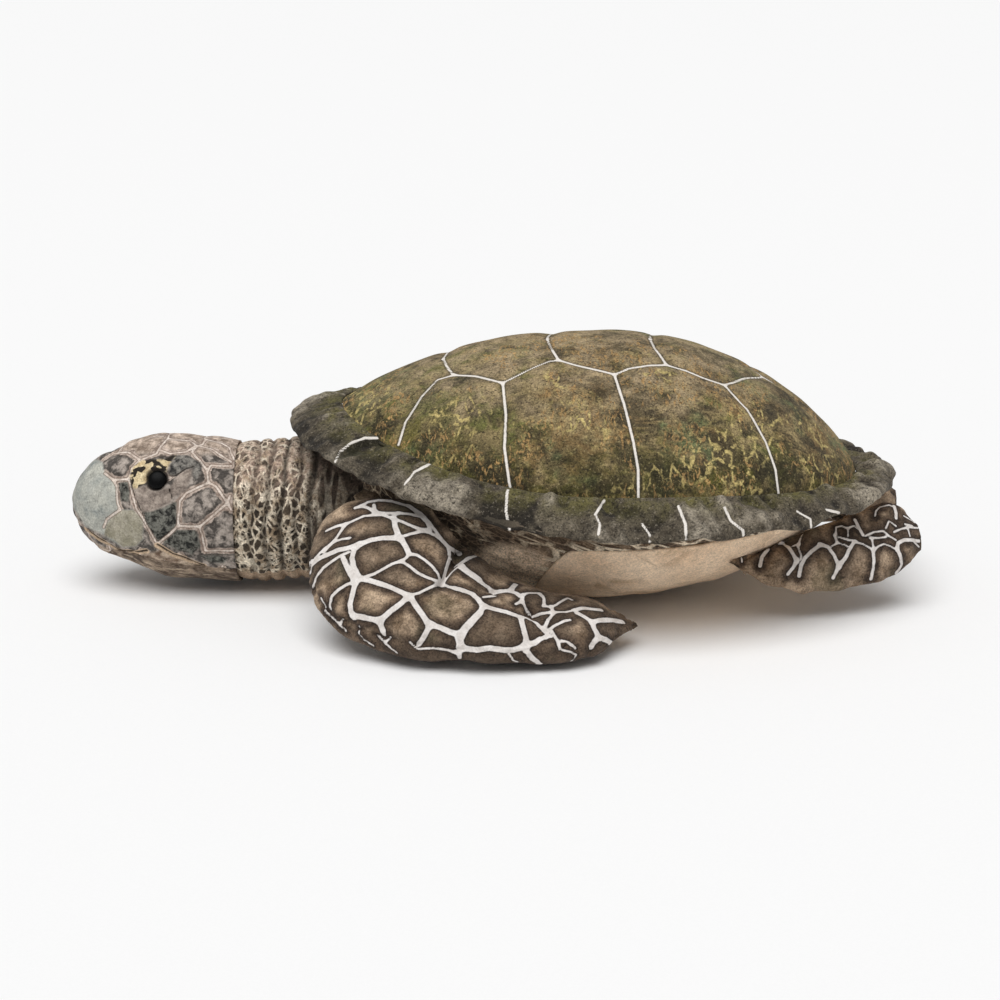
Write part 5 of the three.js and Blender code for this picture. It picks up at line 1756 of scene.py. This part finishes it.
class PLUSH_OT_head(bpy.types.Operator):
    """Makes the scuted head and its jaw."""

    bl_idname = "plush.head"
    bl_label = "Head"

    def execute(self, context):
        for name, columns, nodes, paint in (
            ("head", HEAD_COLUMNS, ("head_cover", "head_stuffing"), head_paint),
            ("jaw", JAW_COLUMNS, ("jaw_panel",), jaw_paint),
        ):
            def skin(across, along, name=name):
                half = jaw_angle(along)
                start, end = (half, 2 * math.pi - half) if name == "head" else (-half, half)
                return head_place(mix(start, end, across), along)

            mesh = tidy_mesh(grid_mesh(name, columns, HEAD_ROWS, skin))
            turned_outwards(mesh, (-300, 0, 57))
            if name == "head":
                self.sculpt(mesh)
            else:
                places = places_mm(mesh)
                moved_along(mesh, 0.5 * ripple(places * np.array((0.35, 1.0, 1.0)), 5, 52))
            material = plush_material(f"Plush of the {name}", paint, speckle=0.7, nap=0.4)
            piece = add_piece(name, mesh, material, "head", nodes)
            add_wall(piece, CLOTH)
        return {"FINISHED"}

    def sculpt(self, mesh):
        head = bpy.context.scene.plush_head
        seat = np.array(eye_seat(-1.0))
        places = places_mm(mesh)
        left = on_left(places)
        from_eye = left - seat
        outwards = np.array((0.0, -math.cos(EYE_RISE), math.sin(EYE_RISE)))
        up = np.array((0.0, math.sin(EYE_RISE), math.cos(EYE_RISE)))
        flat = from_eye - np.outer(from_eye @ outwards, outwards)
        reach = np.linalg.norm(flat, axis=1)
        rise = flat @ up / np.maximum(reach, 1e-6)
        radius = head.eye / MM / 2
        near = np.linalg.norm(from_eye, axis=1) < EYE_AREA
        socket = -SOCKET_DEPTH * np.exp(-((reach / (radius * 1.1)) ** 2)) * near
        lid = UPPER_LID * bump(reach, radius + 1.5, 2.3) * smooth(-0.1, 0.6, rise) * near
        lower = LOWER_LID * bump(reach, radius + 1.5, 2.2) * smooth(0.1, -0.5, rise) * near
        seam = -1.0 * smooth(HEAD_SEAM - 7.0, HEAD_SEAM, places[:, 0])
        moved_along(mesh, socket + lid + lower + seam)
        # The way from the eye's edge, round which the paint draws a ring of painted shade in the socket
        add_values(mesh, "socket", np.where(near, np.maximum(0.0, reach - radius), FAR))

        places = places_mm(mesh)
        left = on_left(places)
        net, smile, crease = (
            line_distance(left, laid_lines(mesh, lines.values()), spread)
            for lines, spread in ((HEAD_NET, 0.5), (SMILE, 0.5), (CREASES, 0.4))
        )
        cells = cell_distance(left, SCUTE_SIZE, 54)
        facing = facing_share(places, normals_of(mesh))
        pixels = picture_places(left)
        beak = mirrored_area(pixels, facing, "beak", "beak plate", soft=4.0)
        drawn = smooth(9.0, 15.0, net) * (1.0 - beak)
        net = np.minimum(net, cells + (1.0 - drawn) * CELLS_OUT)
        add_values(mesh, "net", net)
        # The mouth's lines, whose dark paint is partly painted shade, and the creases, whose dark paint is
        # painted shade in their grooves
        add_values(mesh, "smile", smile)
        add_values(mesh, "crease", crease)
        for label, names in HEAD_TINTS.items():
            add_values(mesh, label, mirrored_area(pixels, facing, *names))
        # The crown on the head's top, whose rusty, pale paint is partly painted light
        add_values(mesh, "crown", smooth(458.0, 450.0, pixels[:, 1]) * smooth(118.0, 126.0, pixels[:, 0]))
        chin = np.interp(pixels[:, 0], CHIN_ACROSS, CHIN_HEIGHT)
        add_values(mesh, "chin", smooth(-1.0, 3.0, pixels[:, 1] - chin))
        puff = 0.7 * (1.0 - np.exp(-((net / 3.0) ** 2))) - 0.5
        groove = -1.3 * np.exp(-((smile / 1.3) ** 2)) - 0.9 * np.exp(-((crease / 0.9) ** 2))
        grain = 0.25 * ripple(places, 5, 55)
        moved_along(mesh, puff + groove + grain)


class PLUSH_OT_eyes(bpy.types.Operator):
    """Makes the plastic eyes."""

    bl_idname = "plush.eyes"
    bl_label = "Eyes"

    def execute(self, context):
        radius = context.scene.plush_head.eye / MM / 2
        eye_material = plain_material("Black eye plastic", (0.001, 0.001, 0.001), 0.32, 0.08)
        washer_material = plain_material("Washer plastic", (0.72, 0.70, 0.66), 0.5)
        for side, name in ((-1.0, "left"), (1.0, "right")):
            bm = bmesh.new()
            outline = [(0.0, -EYE_POST[1]), (EYE_POST[0], -EYE_POST[1]), (EYE_POST[0], EYE_SEAT_HEIGHT)]
            outline.append((radius, EYE_SEAT_HEIGHT))
            for slope in np.linspace(math.pi / 2, 0.0, 15):
                height = mix(EYE_WALL_SHARE, 1.0, math.cos(slope)) * EYE_DOME
                outline.append((radius * math.sin(slope), EYE_SEAT_HEIGHT + height))
            profile = [bm.verts.new((across, 0.0, height)) for across, height in outline]
            edges = [bm.edges.new(pair) for pair in zip(profile[:-1], profile[1:])]
            bmesh.ops.spin(
                bm, geom=profile + edges, cent=(0, 0, 0), axis=(0, 0, 1), angle=2 * math.pi, steps=64,
                use_merge=True,
            )
            bmesh.ops.remove_doubles(bm, verts=bm.verts, dist=0.001)
            bmesh.ops.recalc_face_normals(bm, faces=bm.faces)
            outwards = Vector((0.0, side * math.cos(EYE_RISE), math.sin(EYE_RISE)))
            turn = Vector((0.0, 0.0, 1.0)).rotation_difference(outwards).to_matrix().to_4x4()
            place = Matrix.Scale(MM, 4) @ Matrix.Translation(eye_seat(side)) @ turn
            bmesh.ops.transform(bm, matrix=place, verts=bm.verts)
            mesh = bpy.data.meshes.new(f"eye_{name}_dome")
            bm.to_mesh(mesh)
            bm.free()
            add_piece(f"eye_{name}_dome", mesh, eye_material, "head", (f"eye_{name}",))
            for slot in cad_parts[f"eye_washer_{name}"].material_slots:
                slot.material = washer_material
        return {"FINISHED"}


def elbow_and_dimple(mesh):
    """The deep pinch at a front flipper's elbow, and the puckered dimple further out."""
    places = places_mm(mesh)
    pinch = line_distance(places, laid_lines(mesh, [PINCH]))
    amounts = -PINCH_DEPTH * np.exp(-((pinch / 3.4) ** 2)) - PINCH_SLUMP * np.exp(-((pinch / 11.0) ** 2))
    for spot, deep, wide in DIMPLES:
        hit = laid_lines(mesh, [(spot, (spot[0] + 1.0, spot[1]))])
        if hit:
            away = places - hit[0][0]
            reach = np.linalg.norm(away, axis=1)
            star = 0.5 + 0.5 * np.cos(np.arctan2(away[:, 1], away[:, 0]) * 5.0 + 0.6)
            amounts -= deep * np.exp(-((reach / wide) ** 2))
            amounts -= 0.30 * deep * star * np.exp(-((reach / (wide * 2.3)) ** 2))
    moved_along(mesh, amounts)


def seam_distance(places, shape, size):
    """The way to the edge seam, which lies a little over the pillow's outer edge."""
    steps = np.linspace(0.0, 1.0, 80)
    outer, inner = (run_distance(places, pillow_place(shape, size, around, steps)) for around in (0.02, 0.5))
    return np.minimum(outer, inner)


def pillow_print(mesh, shape, size, nets, seed):
    """Lays nets of lines on a pillow, and fills what the picture doesn't show with cells of the same kind.

    nets names, for each net, how much thinner its lines are, in millimetres, and the lines.
    """
    places = places_mm(mesh)
    net = np.full(len(places), FAR)
    for thinner, lines in nets:
        net = np.minimum(net, line_distance(places, laid_lines(mesh, lines.values())) + thinner)
    hidden = smooth(11.0, 19.0, net)
    cells = cell_distance(places, shape["cell"], seed)
    net = np.minimum(net, cells + (1.0 - hidden) * CELLS_OUT)
    add_values(mesh, "net", net)
    # The way to the edge seam, along which the paint draws a dark line of painted shade
    add_values(mesh, "seam", seam_distance(places, shape, size))


class PLUSH_OT_flippers(bpy.types.Operator):
    """Makes the four flippers and the tail."""

    bl_idname = "plush.flippers"
    bl_label = "Flippers and Tail"

    def execute(self, context):
        sizes = context.scene.plush_flippers
        for name, shape, nets, reach, span, line in (
            ("front_flipper", FRONT_FLIPPER, FRONT_NETS, sizes.front_reach, sizes.front_span, FRONT_LINE),
            ("rear_flipper", REAR_FLIPPER, REAR_NETS, sizes.rear_reach, sizes.rear_span, REAR_LINE),
        ):
            size = np.array([reach / MM, span / MM, shape["height"]])
            mesh = pillow_mesh(f"{name}_left", shape, size)
            front = name == "front_flipper"
            swollen(mesh)
            self.sculpt(mesh, shape, size, front)
            if front:
                elbow_and_dimple(mesh)
            pillow_print(mesh, shape, size, nets, 61)
            material = plush_material(
                f"Netted plush of the {name.replace('_', ' ')}s",
                lambda tree, line=line: flipper_paint(tree, line), 1.1, calm=line,
            )
            for side, y in (("left", 1.0), ("right", -1.0)):
                own = mesh if side == "left" else mirrored_mesh(mesh, f"{name}_right")
                own.materials.clear()
                full = f"{name}_{side}"
                piece = add_piece(
                    full, own, material, None,
                    (f"{full}_top_panel", f"{full}_under_panel", f"{full}_stuffing"),
                )
                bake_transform(piece)
        size = np.array(TAIL["size"])
        mesh = pillow_mesh("tail_pillow", TAIL, size)
        pillow_print(mesh, TAIL, size, (), 62)
        material = plush_material("Netted plush of the tail", lambda tree: flipper_paint(tree, TAIL_LINE))
        piece = add_piece(
            "tail_pillow", mesh, material, None,
            ("tail_top_panel", "tail_under_panel", "tail_stuffing"),
        )
        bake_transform(piece)
        return {"FINISHED"}

    def sculpt(self, mesh, shape, size, front):
        pucker = bpy.context.scene.plush_flippers.pucker / MM
        places = places_mm(mesh)
        seams = seam_distance(places, shape, size)
        gathers = ripple(places, 4.5, 63) + 0.6 * ripple(places, 2.6, 64)
        depth = 1.0 if front else 0.5
        amounts = depth * pucker * gathers * np.exp(-((seams / 9.0) ** 2))
        amounts -= depth * 2.2 * np.exp(-((seams / 2.0) ** 2))
        amounts += 0.8 * ripple(places, 20 if front else 12, 65) + 0.35 * ripple(places, 8, 66)
        ends = [pillow_place(shape, size, 0.0, np.array([end]))[0] for end in (0.0, 1.0)]
        away = np.min([np.linalg.norm(places - end, axis=1) for end in ends], axis=0)
        moved_along(mesh, amounts * smooth(0.0, 3.0, places[:, 2] + 1.0) * smooth(2.0, 14.0, away))


class PLUSH_OT_stage(bpy.types.Operator):
    """Makes the pale floor and the soft light."""

    bl_idname = "plush.stage"
    bl_label = "Stage"

    def execute(self, context):
        bm = bmesh.new()
        bmesh.ops.create_grid(bm, x_segments=4, y_segments=4, size=FLOOR_REACH)
        bmesh.ops.translate(bm, verts=bm.verts, vec=(0.0, 0.0, -FLOOR_DROP))
        mesh = bpy.data.meshes.new("floor")
        bm.to_mesh(mesh)
        bm.free()
        floor = bpy.data.objects.new("floor", mesh)
        context.scene.collection.objects.link(floor)
        mesh.materials.append(plain_material("Pale floor", (FLOOR_SHADE,) * 3, 0.95))
        world = bpy.data.worlds.new("Soft light")
        world.use_nodes = True
        sky = world.node_tree.nodes["Background"]
        sky.inputs["Color"].default_value = (1.0, 1.0, 1.0, 1.0)
        sky.inputs["Strength"].default_value = SKY_STRENGTH
        context.scene.world = world
        lamp = bpy.data.lights.new("broad_light", "SUN")
        lamp.energy = SUN_ENERGY
        lamp.angle = SUN_SPREAD
        light = bpy.data.objects.new("broad_light", lamp)
        light.rotation_euler = SUN_TURN
        context.scene.collection.objects.link(light)
        context.scene.view_settings.view_transform = "Standard"
        return {"FINISHED"}


class PLUSH_PT_turtle(bpy.types.Panel):
    """Lists the pieces of the turtle."""

    bl_idname = "PLUSH_PT_turtle"
    bl_label = "Plush Turtle"
    bl_space_type = "VIEW_3D"
    bl_region_type = "UI"
    bl_category = "Plush Turtle"

    def draw(self, context):
        for operator in OPERATORS:
            self.layout.operator(operator.bl_idname)


OPERATORS = (
    PLUSH_OT_camera, PLUSH_OT_shell, PLUSH_OT_rim, PLUSH_OT_body, PLUSH_OT_neck, PLUSH_OT_head,
    PLUSH_OT_eyes, PLUSH_OT_flippers, PLUSH_OT_stage,
)
SETTINGS = (
    ("plush_shell", ShellSettings), ("plush_head", HeadSettings), ("plush_flippers", FlipperSettings),
)


def register():
    for _name, settings in SETTINGS:
        bpy.utils.register_class(settings)
    for name, settings in SETTINGS:
        setattr(bpy.types.Scene, name, PointerProperty(type=settings))
    for operator in OPERATORS:
        bpy.utils.register_class(operator)
    bpy.utils.register_class(PLUSH_PT_turtle)


def unregister():
    bpy.utils.unregister_class(PLUSH_PT_turtle)
    for operator in reversed(OPERATORS):
        bpy.utils.unregister_class(operator)
    for name, settings in reversed(SETTINGS):
        delattr(bpy.types.Scene, name)
        bpy.utils.unregister_class(settings)


def main():
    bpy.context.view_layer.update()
    register()
    make_groups()
    bpy.ops.plush.camera()
    bpy.ops.plush.shell()
    bpy.ops.plush.rim()
    bpy.ops.plush.body()
    bpy.ops.plush.neck()
    bpy.ops.plush.head()
    bpy.ops.plush.eyes()
    bpy.ops.plush.flippers()
    bpy.ops.plush.stage()


if __name__ == "__main__":
    main()
